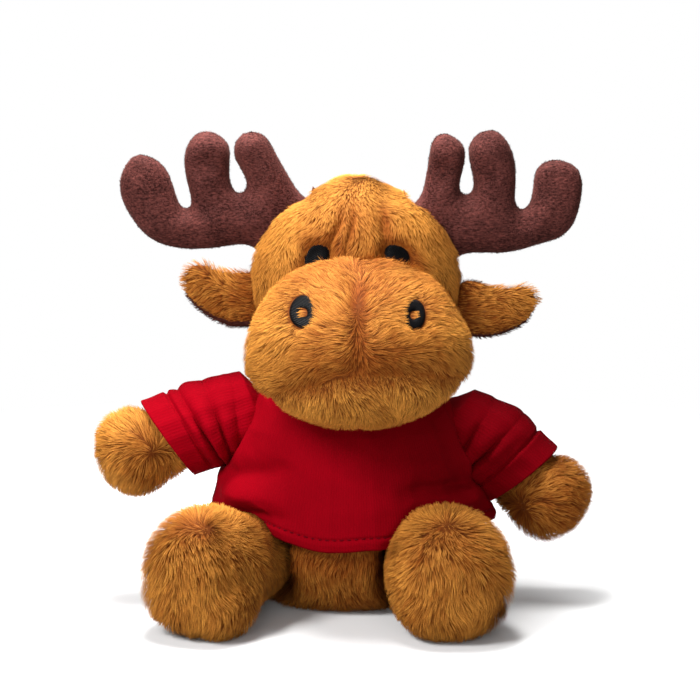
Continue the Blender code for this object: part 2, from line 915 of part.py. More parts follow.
class AntlerRoot:
    """The sewn line of one antler, and its pattern in place."""

    def __init__(self, side):
        self.sign = side.sign
        corner = Vector((HEAD_CENTRE_X + side.sign * side.antler_reach, side.antler_level))
        self.span = side.antler_span
        self.rise = side.antler_rise
        pattern = [self.place(share, corner) for share in side.antler_shares]
        self.outline = counter_clockwise(smooth_outline(pattern, ANTLER_EDGE_STEP))
        high, low = [self.place(share, corner) for share in side.antler_root_shares]
        line = (low - high).normalized()
        outward = Vector((-line.y, line.x))
        if outward.x * side.sign < 0.0:
            outward = -outward
        half = ANTLER_THICKNESS / 2.0
        self.ends = hinge_ends(
            self.outline, high, line, outward, half, ANTLER_POCKET_DEPTH, ANTLER_CENTRE_Y
        )
        self.hinge = (self.ends[1] - self.ends[0]).normalized()
        self.outward = Vector((outward.x, 0.0, outward.y))
        self.middle = (self.ends[0] + self.ends[1]) / 2.0

    def place(self, share, corner):
        """A point of the pattern in the plane of the antlers."""
        return corner + Vector((self.sign * share[0] * self.span, share[1] * self.rise))

    def clearance(self, name):
        """The pocket that the head leaves for the antler's root."""
        radii = (ANTLER_THICKNESS / 2.0, ANTLER_THICKNESS / 2.0)
        angles = spread_angles(-ANTLER_BEND, ANTLER_BEND)
        return swing_space(name, self.ends, radii, self.span / 3.0, self.hinge, self.outward, angles)


class EarRoot:
    """The sewn line of one ear, and the patterns of its two panels in place."""

    def __init__(self, side):
        self.sign = side.sign
        corner = Vector((HEAD_CENTRE_X + side.sign * side.ear_reach, side.ear_level))
        outer = [self.place(share, corner, side.ear_tilt) for share in EAR_OUTLINE_SHARES]
        lining = [self.place(share, corner, side.ear_tilt) for share in EAR_LINING_SHARES]
        self.outer = counter_clockwise(smooth_outline(outer, EAR_EDGE_STEP))
        self.lining = counter_clockwise(smooth_outline(lining, EAR_EDGE_STEP))
        high, low = [self.place(share, corner, side.ear_tilt) for share in EAR_ROOT_SHARES]
        line = (low - high).normalized()
        outward = Vector((-line.y, line.x))
        if outward.x * side.sign < 0.0:
            outward = -outward
        both = self.outer + self.lining
        half = EAR_THICKNESS / 2.0
        self.ends = hinge_ends(both, high, line, outward, half, EAR_POCKET_DEPTH, EAR_CENTRE_Y)
        self.hinge = (self.ends[1] - self.ends[0]).normalized()
        self.outward = Vector((outward.x, 0.0, outward.y))
        self.middle = (self.ends[0] + self.ends[1]) / 2.0

    def place(self, share, corner, tilt):
        """A point of the pattern in the plane of the ears."""
        flat = Vector((share[0] * EAR_LENGTH, share[1] * EAR_WIDTH))
        flat.rotate(Matrix.Rotation(math.radians(tilt), 2))
        return corner + Vector((self.sign * flat.x, flat.y))

    def clearance(self, name):
        """The pocket that the head leaves for the ear's root."""
        angles = spread_angles(-EAR_BEND, EAR_BEND)
        radii = (EAR_THICKNESS / 2.0, EAR_THICKNESS / 2.0)
        return swing_space(name, self.ends, radii, EAR_LENGTH, self.hinge, self.outward, angles)


SIDES = (RIGHT, LEFT)
SHOULDERS = {side.name: Shoulder(side) for side in SIDES}
HIPS = {side.name: Hip(side) for side in SIDES}
ANTLERS = {side.name: AntlerRoot(side) for side in SIDES}
EARS = {side.name: EarRoot(side) for side in SIDES}


def sewn_on_spaces():
    """The hollows that arms and legs press into the body and the shirt."""
    spaces = [shoulder.clearance("arm_space") for shoulder in SHOULDERS.values()]
    spaces += [hip.clearance("leg_space") for hip in HIPS.values()]
    return spaces


def build_body(plush, fibre):
    """The body's skin, open at the neck and where the limbs are sewn on, and its filling."""
    skin = body_form("body_skin", 0.0, plush)
    cut(skin, floor_block())
    hollow = body_form("body_hollow", -PLUSH)
    cut(skin, hollow, *sewn_on_spaces())
    bottom = BODY_TOP - OVERRUN
    cut(skin, neck_rod("neck_opening", NECK_OPENING_RADIUS, bottom, BODY_TOP + OVERRUN))
    filling = body_form("body_filling", -PLUSH - GAP, fibre)
    cut(filling, *sewn_on_spaces())
    return skin, filling


def head_clearances():
    """What the head and the muzzle leave free for the neck, the collar and the body."""
    cloth = SHIRT_EASE + JERSEY + HEM_FOLD + GAP
    collar = turning_space("collar_space", cloth)
    core_radius = NECK_RADIUS / FACET_SHARE
    cut(collar, neck_rod("neck_core", core_radius, 0.0, BODY_HEIGHT + OVERRUN))
    return [collar, turning_space("body_space", GAP)]


def build_head(plush, fibre):
    """The head's skin, open at the neck and round the antlers and ears, and its filling."""
    skin = head_form("head_skin", 0.0, plush)
    roots = list(ANTLERS.values()) + list(EARS.values())
    cut(skin, head_form("head_hollow", -PLUSH), *head_clearances())
    cut(skin, *[root.clearance("root_space") for root in roots])
    bottom = HEAD_BASE - OVERRUN
    opening = neck_rod("neck_opening", NECK_OPENING_RADIUS, bottom, HEAD_BASE + OVERRUN)
    cut(skin, opening)
    filling = head_form("head_filling", -PLUSH - GAP, fibre)
    cut(filling, *head_clearances())
    cut(filling, *[root.clearance("root_space") for root in roots])
    for piece in (skin, filling):
        place_origin(piece, neck_axis_point(HEAD_BASE))
    return skin, filling


def mouth_block(name, gap, upper):
    """Everything above, or below, the mouth's gently arched seam."""
    reach = MUZZLE_WIDTH
    centre = Vector((MUZZLE_CENTRE_X, MOUTH_HEIGHT - MOUTH_ARCH_RADIUS))
    radius = MOUTH_ARCH_RADIUS + gap
    data = bmesh.new()
    spread = math.asin(reach / 2.0 / MOUTH_ARCH_RADIUS) * MOUTH_REACH_SHARE
    profile = []
    for step in range(PUFF_STEPS * 2 + 1):
        turn = spread * (step / PUFF_STEPS - 1.0)
        profile.append((centre.x + radius * math.sin(turn), centre.y + radius * math.cos(turn)))
    far = MUZZLE_BASE + MUZZLE_HEIGHT + OVERRUN if upper else MUZZLE_BASE - OVERRUN
    profile = [(profile[0][0], far)] + profile + [(profile[-1][0], far)]
    front = [data.verts.new((x, MUZZLE_BACK - MUZZLE_REACH - OVERRUN, z)) for x, z in profile]
    back = [data.verts.new((x, MUZZLE_BACK + MUZZLE_REACH, z)) for x, z in profile]
    data.faces.new(front)
    data.faces.new(back)
    for index, start in enumerate(front):
        following = (index + 1) % len(front)
        data.faces.new((start, front[following], back[following], back[index]))
    return make_object(name, data)


def tuck_block():
    """Everything behind the line where the muzzle is sewn to the head."""
    reach = MUZZLE_WIDTH
    low = MUZZLE_BASE - OVERRUN
    high = MUZZLE_BASE + MUZZLE_HEIGHT + OVERRUN
    seam = MUZZLE_BACK - MUZZLE_TUCK
    return block("behind_muzzle", (-reach, seam, low), (reach, seam + reach, high))


def build_muzzle(plush, fibre):
    """The upper muzzle, the chin panel under the mouth seam and the filling of both."""
    upper = muzzle_form("muzzle_skin", 0.0, plush)
    chin = muzzle_form("chin_panel", 0.0, plush)
    filling = muzzle_form("muzzle_filling", -PLUSH - GAP, fibre)
    for piece in (upper, chin, filling):
        cut(piece, tuck_block(), head_form("head_space", GAP), *head_clearances())
    cut(upper, mouth_block("below_mouth", GAP / 2.0, False))
    cut(chin, mouth_block("above_mouth", -GAP / 2.0, True))
    for piece in (upper, chin):
        cut(piece, muzzle_form("muzzle_hollow", -PLUSH))
    for piece in (upper, chin, filling):
        place_origin(piece, neck_axis_point(HEAD_BASE))
    return upper, chin, filling


def build_eyes(thread):
    """Satin-stitched eyes that follow the head, partly under the muzzle's brow line."""
    eyes = []
    for side in SIDES:
        centre = Vector((HEAD_CENTRE_X + side.sign * EYE_SPREAD, HEAD_CENTRE_Y, HEAD_BASE + EYE_RISE))
        front = centre - Vector((0, HEAD_DEPTH, 0))
        eye = rod(f"eye_{side.name}", centre, front, EYE_WIDTH / 2.0, EYE_HEIGHT / 2.0, Vector((0, 0, 1)))
        eye.data.materials.append(thread)
        keep_inside(eye, head_form("eye_face", GAP + EMBROIDERY))
        cut(eye, head_form("head_space", GAP), muzzle_form("muzzle_space", GAP))
        eyes.append(place_origin(eye, neck_axis_point(HEAD_BASE)))
    return eyes


def build_nostrils(thread):
    """Satin-stitched nostril rings that follow the muzzle, leaning towards its seam."""
    rings = []
    lift = Vector((0, 0, 1))
    for side in SIDES:
        x = MUZZLE_CENTRE_X + side.sign * NOSTRIL_SPREAD
        centre = Vector((x, MUZZLE_BACK - MUZZLE_REACH / 2.0, HEAD_BASE + NOSTRIL_RISE))
        front = centre - Vector((0, MUZZLE_REACH, 0))
        lean = Matrix.Rotation(math.radians(-side.sign * NOSTRIL_LEAN), 3, "Y") @ lift
        wide = NOSTRIL_WIDTH / 2.0
        high = NOSTRIL_HEIGHT / 2.0
        ring = rod(f"nostril_{side.name}", centre, front, wide, high, lean)
        ring.data.materials.append(thread)
        beyond = front - Vector((0, OVERRUN, 0))
        hole = rod("nostril_hole", centre, beyond, wide - NOSTRIL_BAND, high - NOSTRIL_BAND, lean)
        cut(ring, hole)
        keep_inside(ring, muzzle_form("nostril_face", GAP + EMBROIDERY))
        cut(ring, muzzle_form("muzzle_space", GAP))
        rings.append(place_origin(ring, neck_axis_point(HEAD_BASE)))
    return rings


def build_antlers(velboa, fibre):
    """Antlers of two velboa panels sewn round one pattern, open at the root, and filled."""
    half = ANTLER_THICKNESS / 2.0
    seam = VELBOA / 2.0
    for side in SIDES:
        root = ANTLERS[side.name]
        skin = puffed_panel(
            f"antler_{side.name}_skin", root.outline, ANTLER_SPACING, (seam, half), (seam, half),
            ANTLER_CENTRE_Y, velboa,
        )
        inside = inset_outline(root.outline, VELBOA)
        swell = (seam, half - VELBOA)
        hollow = puffed_panel("antler_hollow", inside, ANTLER_SPACING, swell, swell, ANTLER_CENTRE_Y)
        inward = root.middle - root.outward * ANTLER_THICKNESS
        reach = (root.ends[1] - root.ends[0]).length / 2.0 - half
        wide = half - 2.0 * VELBOA
        opening = rod("root_opening", inward, root.middle, wide, reach, root.hinge)
        cut(skin, hollow, opening)
        filling = puffed_panel(
            f"antler_{side.name}_filling", inside, ANTLER_SPACING, swell, swell, ANTLER_CENTRE_Y,
            fibre, GAP,
        )
        place_origin(skin, root.middle)
        place_origin(filling, root.middle)


def build_ears(plush, lining):
    """Each ear's plush front panel and the lining sewn behind it."""
    swell = (GAP / 2.0 + EAR_RIM, EAR_THICKNESS / 2.0)
    flat = (-GAP / 2.0, -GAP / 2.0)
    for side in SIDES:
        root = EARS[side.name]
        outer = puffed_panel(
            f"ear_{side.name}_outer", root.outer, EAR_SPACING, swell, flat, EAR_CENTRE_Y, plush
        )
        back = puffed_panel(
            f"ear_{side.name}_lining", root.lining, EAR_SPACING, flat, swell, EAR_CENTRE_Y, lining
        )
        place_origin(outer, root.middle)
        place_origin(back, root.middle)


def arm_form(shoulder, name, grow, shares=ARM_SHARES, material=None):
    """One arm, or one sleeve, grown by a wall."""
    stations = limb_stations(
        shoulder.pivot, shoulder.axis, shoulder.upward, ARM_ROOT_RADIUS, shares, ARM_LENGTH,
        PAW_RADIUS, grow,
    )
    return loft(name, stations, segments_for(grow, LIMB_SEGMENTS), material)


def cuff_plane_block(shoulder, name, place, slant, outer):
    """The half space beyond, or before, a plane across the sleeve."""
    size = ARM_LENGTH * 2.0
    low = (0.0, -size, -size) if outer else (-size, -size, -size)
    high = (size, size, size) if outer else (0.0, size, size)
    piece = block(name, low, high)
    tilt = math.radians(slant)
    axis = shoulder.axis * math.cos(tilt) + shoulder.upward * -math.sin(tilt)
    upward = shoulder.upward * math.cos(tilt) + shoulder.axis * math.sin(tilt)
    sideways = upward.cross(axis)
    frame = Matrix((axis, sideways, upward)).transposed().to_4x4()
    frame.translation = shoulder.pivot + shoulder.axis * place
    piece.data.transform(frame)
    return piece


def build_arms(plush, fibre, jersey):
    """Arms with their fillings, each in the sleeve of the shirt."""
    for side in SIDES:
        shoulder = SHOULDERS[side.name]
        skin = arm_form(shoulder, f"arm_{side.name}_skin", 0.0, material=plush)
        cut(skin, arm_form(shoulder, "arm_hollow", -PLUSH))
        inward = shoulder.pivot - shoulder.axis * (ARM_ROOT_RADIUS + OVERRUN)
        radius = ARM_OPENING_RADIUS
        cut(skin, rod("arm_opening", inward, shoulder.pivot, radius, radius, shoulder.upward))
        filling = arm_form(shoulder, f"arm_{side.name}_filling", -PLUSH - GAP, material=fibre)
        sleeve = arm_form(shoulder, f"sleeve_{side.name}", GAP + JERSEY, SLEEVE_SHARES, jersey)
        cuff = arm_form(shoulder, "cuff", GAP + JERSEY + HEM_FOLD, SLEEVE_SHARES)
        band_start = SLEEVE_LENGTH - CUFF_BAND
        cut(cuff, cuff_plane_block(shoulder, "cuff_start", band_start, side.cuff_slant, False))
        combine(sleeve, cuff, "UNION")
        cut(sleeve, arm_form(shoulder, "sleeve_hollow", GAP, SLEEVE_SHARES))
        cut(sleeve, cuff_plane_block(shoulder, "cuff_end", SLEEVE_LENGTH, side.cuff_slant, True))
        setback = -SLEEVE_ROOT_SETBACK
        cut(sleeve, cuff_plane_block(shoulder, "sleeve_root", setback, 0.0, False))
        for piece in (skin, filling, sleeve):
            place_origin(piece, shoulder.pivot)


def leg_form(hip, name, grow, material=None):
    """One leg with its foot, grown by a wall."""
    stations = limb_stations(
        hip.pivot, hip.axis, hip.upward, LEG_ROOT_RADIUS, LEG_SHARES, LEG_LENGTH, FOOT_RADIUS, grow
    )
    return loft(name, stations, segments_for(grow, LIMB_SEGMENTS), material)


def sole_rod(hip, name, grow):
    """The oval outline of the sole, run through the front of the foot."""
    start = hip.pivot + hip.axis * (LEG_LENGTH / 2.0) - hip.upward * SOLE_DROP
    end = start + hip.axis * LEG_LENGTH
    half_wide = SOLE_WIDTH / 2.0 + grow
    half_high = SOLE_HEIGHT / 2.0 + grow
    return rod(name, start, end, half_wide, half_high, hip.upward)


def build_legs(plush, fibre):
    """Legs with their fillings and the oval sole panels sewn into the feet."""
    for side in SIDES:
        hip = HIPS[side.name]
        skin = leg_form(hip, f"leg_{side.name}_skin", 0.0, plush)
        cut(skin, leg_form(hip, "leg_hollow", -PLUSH), floor_block())
        inward = hip.pivot - hip.axis * (LEG_ROOT_RADIUS + OVERRUN)
        radius = LEG_OPENING_RADIUS
        cut(skin, rod("leg_opening", inward, hip.pivot, radius, radius, hip.upward))
        cut(skin, sole_rod(hip, "sole_opening", GAP))
        sole = leg_form(hip, f"sole_{side.name}", 0.0, plush)
        cut(sole, leg_form(hip, "leg_hollow", -PLUSH), floor_block())
        keep_inside(sole, sole_rod(hip, "sole_outline", 0.0))
        filling = leg_form(hip, f"leg_{side.name}_filling", -PLUSH - GAP, fibre)
        for piece in (skin, sole, filling):
            place_origin(piece, hip.pivot)


def shirt_shell(name, jersey):
    """The shirt's body with its folded hem, before it is cut into panels."""
    reach = BODY_WIDTH + OVERRUN
    shell = body_form(name, SHIRT_EASE + JERSEY, jersey)
    hem = body_form("hem", SHIRT_EASE + JERSEY + HEM_FOLD)
    top = SHIRT_HEM_HEIGHT + HEM_BAND
    cut(hem, block("above_hem", (-reach, -reach, top), (reach, reach, top + reach)))
    combine(shell, hem, "UNION")
    cut(shell, body_form("shirt_hollow", SHIRT_EASE))
    below = block("below_hem", (-reach, -reach, -reach), (reach, reach, SHIRT_HEM_HEIGHT))
    cut(shell, below)
    return shell


def build_shirt(jersey):
    """The shirt's front and back panels, sewn at the sides, and the neckband."""
    reach = BODY_WIDTH + OVERRUN
    seam = BODY_CENTRE_Y
    top = BODY_HEIGHT + OVERRUN
    band_radius = NECK_RADIUS + GAP + NECKBAND_WIDTH
    halves = (
        ("shirt_front", seam - GAP / 2.0, seam + reach),
        ("shirt_back", seam - reach, seam + GAP / 2.0),
    )
    for name, low_y, high_y in halves:
        panel = shirt_shell(name, jersey)
        cut(panel, block("other_half", (-reach, low_y, -reach), (reach, high_y, reach)))
        cut(panel, *sewn_on_spaces())
        cut(panel, neck_rod("neckline", band_radius + GAP, 0.0, top))
    band = body_form("shirt_neckband", SHIRT_EASE + JERSEY + HEM_FOLD, jersey)
    keep_inside(band, neck_rod("band_outline", band_radius, BODY_HEIGHT / 2.0, top))
    cut(band, body_form("shirt_hollow", SHIRT_EASE))
    cut(band, neck_rod("neckline", NECK_RADIUS + GAP, 0.0, top))


def main():
    """Builds every piece of the toy."""
    clear_scene()
    plush = make_material("caramel_plush", CARAMEL, 0.9)
    lining = make_material("dark_plush", DARK_CARAMEL, 0.9)
    velboa = make_material("antler_velboa", ANTLER_BROWN, 0.85)
    jersey = make_material("red_jersey", SHIRT_RED, 0.85)
    thread = make_material("black_thread", THREAD_BLACK, 0.45)
    fibre = make_material("polyester_fibre", FIBRE_WHITE, 0.95)
    build_body(plush, fibre)
    build_head(plush, fibre)
    build_muzzle(plush, fibre)
    build_eyes(thread)
    build_nostrils(thread)
    build_antlers(velboa, fibre)
    build_ears(plush, lining)
    build_arms(plush, fibre, jersey)
    build_legs(plush, fibre)
    build_shirt(jersey)


if __name__ == "__main__":
    main()
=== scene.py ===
"""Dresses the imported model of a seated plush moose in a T-shirt.

Metres, +Z up. The toy faces -Y, and left and right are its own sides, so left is +X.
Each stuffed piece is rounded out from its solids in the frame and grows a pile of
tapered strands, the shirt is laid over the body as cloth, and the embroidery is raised.
"""
import sys

import json
import logging
import math
from dataclasses import dataclass
from enum import Enum
from typing import Callable, ClassVar, Optional, Sequence

import bmesh
import bpy
import numpy as np
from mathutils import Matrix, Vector
from mathutils.bvhtree import BVHTree
from mathutils.kdtree import KDTree


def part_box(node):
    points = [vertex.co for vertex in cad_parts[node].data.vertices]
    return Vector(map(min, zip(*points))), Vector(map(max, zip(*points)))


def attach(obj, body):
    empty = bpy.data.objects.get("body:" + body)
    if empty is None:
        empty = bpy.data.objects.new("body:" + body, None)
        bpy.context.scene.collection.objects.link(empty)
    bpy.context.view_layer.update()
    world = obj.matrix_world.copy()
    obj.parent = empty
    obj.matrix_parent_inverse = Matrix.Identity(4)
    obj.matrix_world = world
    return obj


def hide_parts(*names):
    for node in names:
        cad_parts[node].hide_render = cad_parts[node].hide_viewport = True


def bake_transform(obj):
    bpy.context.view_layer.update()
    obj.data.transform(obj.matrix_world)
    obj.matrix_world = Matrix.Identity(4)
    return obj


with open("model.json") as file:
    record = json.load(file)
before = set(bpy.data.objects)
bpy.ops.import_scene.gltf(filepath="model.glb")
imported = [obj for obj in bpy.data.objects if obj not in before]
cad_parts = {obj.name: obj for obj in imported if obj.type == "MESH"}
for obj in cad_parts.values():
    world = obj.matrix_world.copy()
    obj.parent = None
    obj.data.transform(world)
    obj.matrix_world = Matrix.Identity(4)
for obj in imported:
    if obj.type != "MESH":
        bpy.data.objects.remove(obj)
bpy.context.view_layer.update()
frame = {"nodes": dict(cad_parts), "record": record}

MM = 0.001
FLOOR_CLEAR = 0.3 * MM
UV_NAME = "OFBake"
COVER_MARGIN = 0.5 * MM

# The photograph's view of the toy
CAMERA_ELEVATION = 10.0
CAMERA_DISTANCE = 1.05
CAMERA_TARGET = (-0.0015, 0.0, 0.095)
CAMERA_LENS = 142.1
CAMERA_SENSOR = 36.0

LOG = logging.getLogger("plush_moose")

Array = np.ndarray
PointMap = Callable[[Array], Array]
Pair = tuple[float, float]
Triple = tuple[float, float, float]


class Side(Enum):
    """The toy's own sides."""

    RIGHT = "right"
    LEFT = "left"

    @property
    def sign(self) -> float:
        """The side's direction along X."""
        return 1.0 if self is Side.LEFT else -1.0


class WaveNoise:
    """Smooth, repeatable noise made of crossing waves."""

    WAVES = 9
    RATES = (0.6, 1.5)
    HEIGHT = 0.6

    def __init__(self, seed: int, size: float) -> None:
        """Draws the waves.

        Args:
            seed: what makes this noise repeat.
            size: the distance over which it changes, in metres.
        """
        draws = np.random.default_rng(seed)
        directions = draws.normal(size=(self.WAVES, 3))
        directions /= np.linalg.norm(directions, axis=1)[:, None]
        self.waves = directions * (math.pi / size) * draws.uniform(*self.RATES, (self.WAVES, 1))
        self.phases = draws.uniform(0.0, 2.0 * math.pi, self.WAVES)

    def at(self, points: Array) -> Array:
        """The noise at each point.

        Args:
            points: places, one a row.

        Returns:
            One value a point, mostly between -1 and 1.
        """
        heights = np.sin(points @ self.waves.T + self.phases)
        return heights.sum(axis=1) * math.sqrt(2.0 / self.WAVES) * self.HEIGHT


def search_tree(points: Array) -> KDTree:
    """A tree that finds the nearest of some points.

    Args:
        points: the places.

    Returns:
        The tree, which numbers the places in their order.
    """
    tree = KDTree(len(points))
    for number, point in enumerate(points):
        tree.insert(point, number)
    tree.balance()
    return tree


def unit(vectors: Array) -> Array:
    """Vectors of length one in the same directions."""
    lengths = np.linalg.norm(vectors, axis=1)
    return vectors / np.maximum(lengths, 1e-12)[:, None]


def bump_at(distance: Array, width: float) -> Array:
    """A round hill of height one over a distance of nothing."""
    return np.exp(-((distance / width) ** 2))


def step_between(low: float, high: float, values: Array) -> Array:
    """A smooth step from nothing at low to one at high."""
    share = np.clip((values - low) / (high - low), 0.0, 1.0)
    return share * share * (3.0 - 2.0 * share)


def full_turn(count: int) -> Array:
    """Angles evenly round a circle, the first one nothing."""
    return np.linspace(0.0, 2.0 * math.pi, count + 1)[:-1]


def lift_off_floor(points: Array) -> None:
    """Keeps points clear of the floor, in place."""
    points[..., 2] = np.maximum(points[..., 2], FLOOR_CLEAR)


def place_object(name: str, data: bpy.types.ID) -> bpy.types.Object:
    """Adds an object with that data to the scene.

    Args:
        name: its name.
        data: its data.

    Returns:
        The object.
    """
    placed = bpy.data.objects.new(name, data)
    bpy.context.scene.collection.objects.link(placed)
    return placed


def joined_nodes(nodes: Sequence[str]) -> bmesh.types.BMesh:
    """The meshes of some nodes in one, which the caller frees.

    Args:
        nodes: the frame's nodes.

    Returns:
        The joined meshes.
    """
    data = bmesh.new()
    for node in nodes:
        data.from_mesh(frame["nodes"][node].data)
    return data


def node_box(node: str) -> tuple[Array, Array]:
    """The low and the high corner of a node's box."""
    low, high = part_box(node)
    return np.array(low), np.array(high)


def box_middle(node: str) -> Array:
    """The middle of a node's box."""
    low, high = node_box(node)
    return (low + high) / 2.0


@dataclass
class Surface:
    """A closed surface of triangles, held as arrays.

    Attributes:
        points: its corners, one a row.
        triangles: the three corners of each face.
    """

    points: Array
    triangles: Array

    @classmethod
    def from_nodes(cls, nodes: Sequence[str], voxel: float, rounds: int) -> "Surface":
        """Rounds out one closed form from the solids of some nodes.

        Args:
            nodes: the frame's nodes that lie in the form.
            voxel: how fine the form is.
            rounds: how often it is smoothed.

        Returns:
            The form's outer surface.
        """
        data = joined_nodes(nodes)
        mesh = bpy.data.meshes.new("form")
        data.to_mesh(mesh)
        data.free()
        holder = place_object("form", mesh)
        remesh = holder.modifiers.new("remesh", "REMESH")
        remesh.mode = "VOXEL"
        remesh.voxel_size = voxel
        graph = bpy.context.evaluated_depsgraph_get()
        result = bpy.data.meshes.new_from_object(holder.evaluated_get(graph))
        surface = cls.from_mesh(result).largest_part().smoothed(rounds)
        bpy.data.objects.remove(holder, do_unlink=True)
        bpy.data.meshes.remove(mesh)
        bpy.data.meshes.remove(result)
        lift_off_floor(surface.points)
        return surface

    @classmethod
    def from_mesh(cls, mesh: bpy.types.Mesh) -> "Surface":
        """Reads a mesh as triangles.

        Args:
            mesh: the mesh.

        Returns:
            Its surface.
        """
        points = np.empty(len(mesh.vertices) * 3)
        mesh.vertices.foreach_get("co", points)
        mesh.calc_loop_triangles()
        corners = np.empty(len(mesh.loop_triangles) * 3, dtype=np.int32)
        mesh.loop_triangles.foreach_get("vertices", corners)
        return cls(points.reshape(-1, 3), corners.reshape(-1, 3))

    def edges(self) -> Array:
        """The pairs of corners that an edge joins."""
        sides = [self.triangles[:, pair] for pair in ((0, 1), (1, 2), (2, 0))]
        return np.unique(np.sort(np.concatenate(sides), axis=1), axis=0)

    def largest_part(self) -> "Surface":
        """The part with the most corners, without what floats inside it.

        Returns:
            That part.
        """
        edges = self.edges()
        labels = np.arange(len(self.points))
        while True:
            lowest = labels.copy()
            np.minimum.at(lowest, edges[:, 0], labels[edges[:, 1]])
            np.minimum.at(lowest, edges[:, 1], labels[edges[:, 0]])
            lowest = lowest[lowest]
            if np.array_equal(lowest, labels):
                break
            labels = lowest
        values, counts = np.unique(labels, return_counts=True)
        kept = labels == values[counts.argmax()]
        return self.part(kept[self.triangles].all(axis=1))

    def part(self, kept_faces: Array) -> "Surface":
        """Only the faces that a mask keeps.

        Args:
            kept_faces: true for each face that stays.

        Returns:
            The surface of those faces.
        """
        triangles = self.triangles[kept_faces]
        used, corners = np.unique(triangles, return_inverse=True)
        return Surface(self.points[used], corners.reshape(-1, 3))

    def smoothed(self, rounds: int) -> "Surface":
        """The surface with its facets rounded off.

        Args:
            rounds: how often it is smoothed.

        Returns:
            The new surface.
        """
        edges = self.edges()
        count = len(self.points)
        starts, ends = edges[:, 0], edges[:, 1]
        neighbours = np.bincount(starts, minlength=count) + np.bincount(ends, minlength=count)
        points = self.points.copy()
        for _ in range(rounds):
            total = np.empty_like(points)
            for axis in range(3):
                column = points[:, axis]
                total[:, axis] = np.bincount(starts, column[ends], count)
                total[:, axis] += np.bincount(ends, column[starts], count)
            points += 0.5 * (total / neighbours[:, None] - points)
        return Surface(points, self.triangles)

    def face_vectors(self) -> Array:
        """Each face's outward direction, as long as twice its area."""
        corners = self.points[self.triangles]
        return np.cross(corners[:, 1] - corners[:, 0], corners[:, 2] - corners[:, 0])

    def normals(self) -> Array:
        """The outward direction at each corner.

        Returns:
            A direction of length one for each corner.
        """
        faces = self.face_vectors()
        total = np.zeros_like(self.points)
        for corner in range(3):
            for axis in range(3):
                total[:, axis] += np.bincount(
                    self.triangles[:, corner], faces[:, axis], len(self.points)
                )
        return unit(total)

    def moved(self, amounts: Array) -> "Surface":
        """The surface with each corner moved outward by an amount.

        Args:
            amounts: how far each corner moves, in metres.

        Returns:
            The new surface.
        """
        points = self.points + self.normals() * amounts[:, None]
        lift_off_floor(points)
        return Surface(points, self.triangles)

    def tree(self) -> BVHTree:
        """A search tree of the faces."""
        return BVHTree.FromPolygons(self.points.tolist(), self.triangles.tolist())

    def face_centres(self) -> Array:
        """The middle of each face."""
        return self.points[self.triangles].mean(axis=1)


def node_points(node: str) -> Array:
    """The corners of a node's mesh."""
    return Surface.from_mesh(frame["nodes"][node].data).points


def new_mesh(
    name: str, points: Array, corners: Array, starts: Array, material: bpy.types.Material
) -> bpy.types.Mesh:
    """Makes a smooth mesh.

    Args:
        name: its name.
        points: its corners.
        corners: the numbers of each face's corners, face after face.
        starts: where each face starts among those numbers.
        material: what it is made of.

    Returns:
        The mesh.
    """
    mesh = bpy.data.meshes.new(name)
    mesh.vertices.add(len(points))
    mesh.vertices.foreach_set("co", points.astype(np.float32).ravel())
    mesh.loops.add(corners.size)
    mesh.loops.foreach_set("vertex_index", corners.astype(np.int32).ravel())
    mesh.polygons.add(starts.size)
    mesh.polygons.foreach_set("loop_start", starts.astype(np.int32).ravel())
    mesh.update(calc_edges=True)
    mesh.shade_smooth()
    mesh.materials.append(material)
    return mesh


def inside_map(places: Array) -> Array:
    """Places from 0 to 1, drawn in a little from the edges of their map."""
    return places * 0.96 + 0.02


def lay_map(mesh: bpy.types.Mesh, places: Array) -> None:
    """Gives a mesh its map, with one place for each corner of each face."""
    layer = mesh.uv_layers.new(name=UV_NAME)
    layer.data.foreach_set("uv", places.astype(np.float32).ravel())


def add_piece(
    name: str, points: Array, faces: Array, material: bpy.types.Material
) -> bpy.types.Object:
    """Adds a smooth piece to the scene.

    Args:
        name: the piece's name.
        points: its corners.
        faces: its faces, all with the same number of corners.
        material: what it is made of.

    Returns:
        The new object.
    """
    starts = np.arange(len(faces)) * faces.shape[1]
    LOG.info("%s: %d faces", name, len(faces))
    return place_object(name, new_mesh(name, points, faces, starts, material))


class Cover:
    """A closed surface that hides what lies inside it."""

    PROBE = Vector((0.211, 0.331, 0.92)).normalized()
    STEP = 1e-6

    def __init__(self, surface: Surface) -> None:
        """Makes the cover of a surface.

        Args:
            surface: the surface.
        """
        self.low = surface.points.min(axis=0)
        self.high = surface.points.max(axis=0)
        self.tree = surface.tree()

    def holds(self, place: Vector) -> bool:
        """Whether a place lies inside, found by counting the walls above it.

        Args:
            place: the place.

        Returns:
            True if it is inside.
        """
        walls = 0
        hit = self.tree.ray_cast(place, self.PROBE)[0]
        while hit is not None:
            walls += 1
            hit = self.tree.ray_cast(hit + self.PROBE * self.STEP, self.PROBE)[0]
        return walls % 2 == 1

    def hides(self, points: Array, margin: float) -> Array:
        """Which points lie deeper inside than a margin.

        Args:
            points: places, one a row.
            margin: how deep a hidden point lies at least.

        Returns:
            True for each point that it hides.
        """
        near = ((points > self.low) & (points < self.high)).all(axis=1)
        hidden = np.zeros(len(points), dtype=bool)
        for index in np.flatnonzero(near):
            place = Vector(points[index])
            hidden[index] = self.holds(place) and self.tree.find_nearest(place)[3] > margin
        return hidden


def clear_of(points: Array, covers: Sequence[Cover], margin: float) -> Array:
    """Which points none of some covers hides.

    Args:
        points: places, one a row.
        covers: what may hide them.
        margin: how deep a hidden point lies at least.

    Returns:
        True for each clear point.
    """
    clear = np.ones(len(points), dtype=bool)
    for cover in covers:
        clear[clear] = ~cover.hides(points[clear], margin)
    return clear


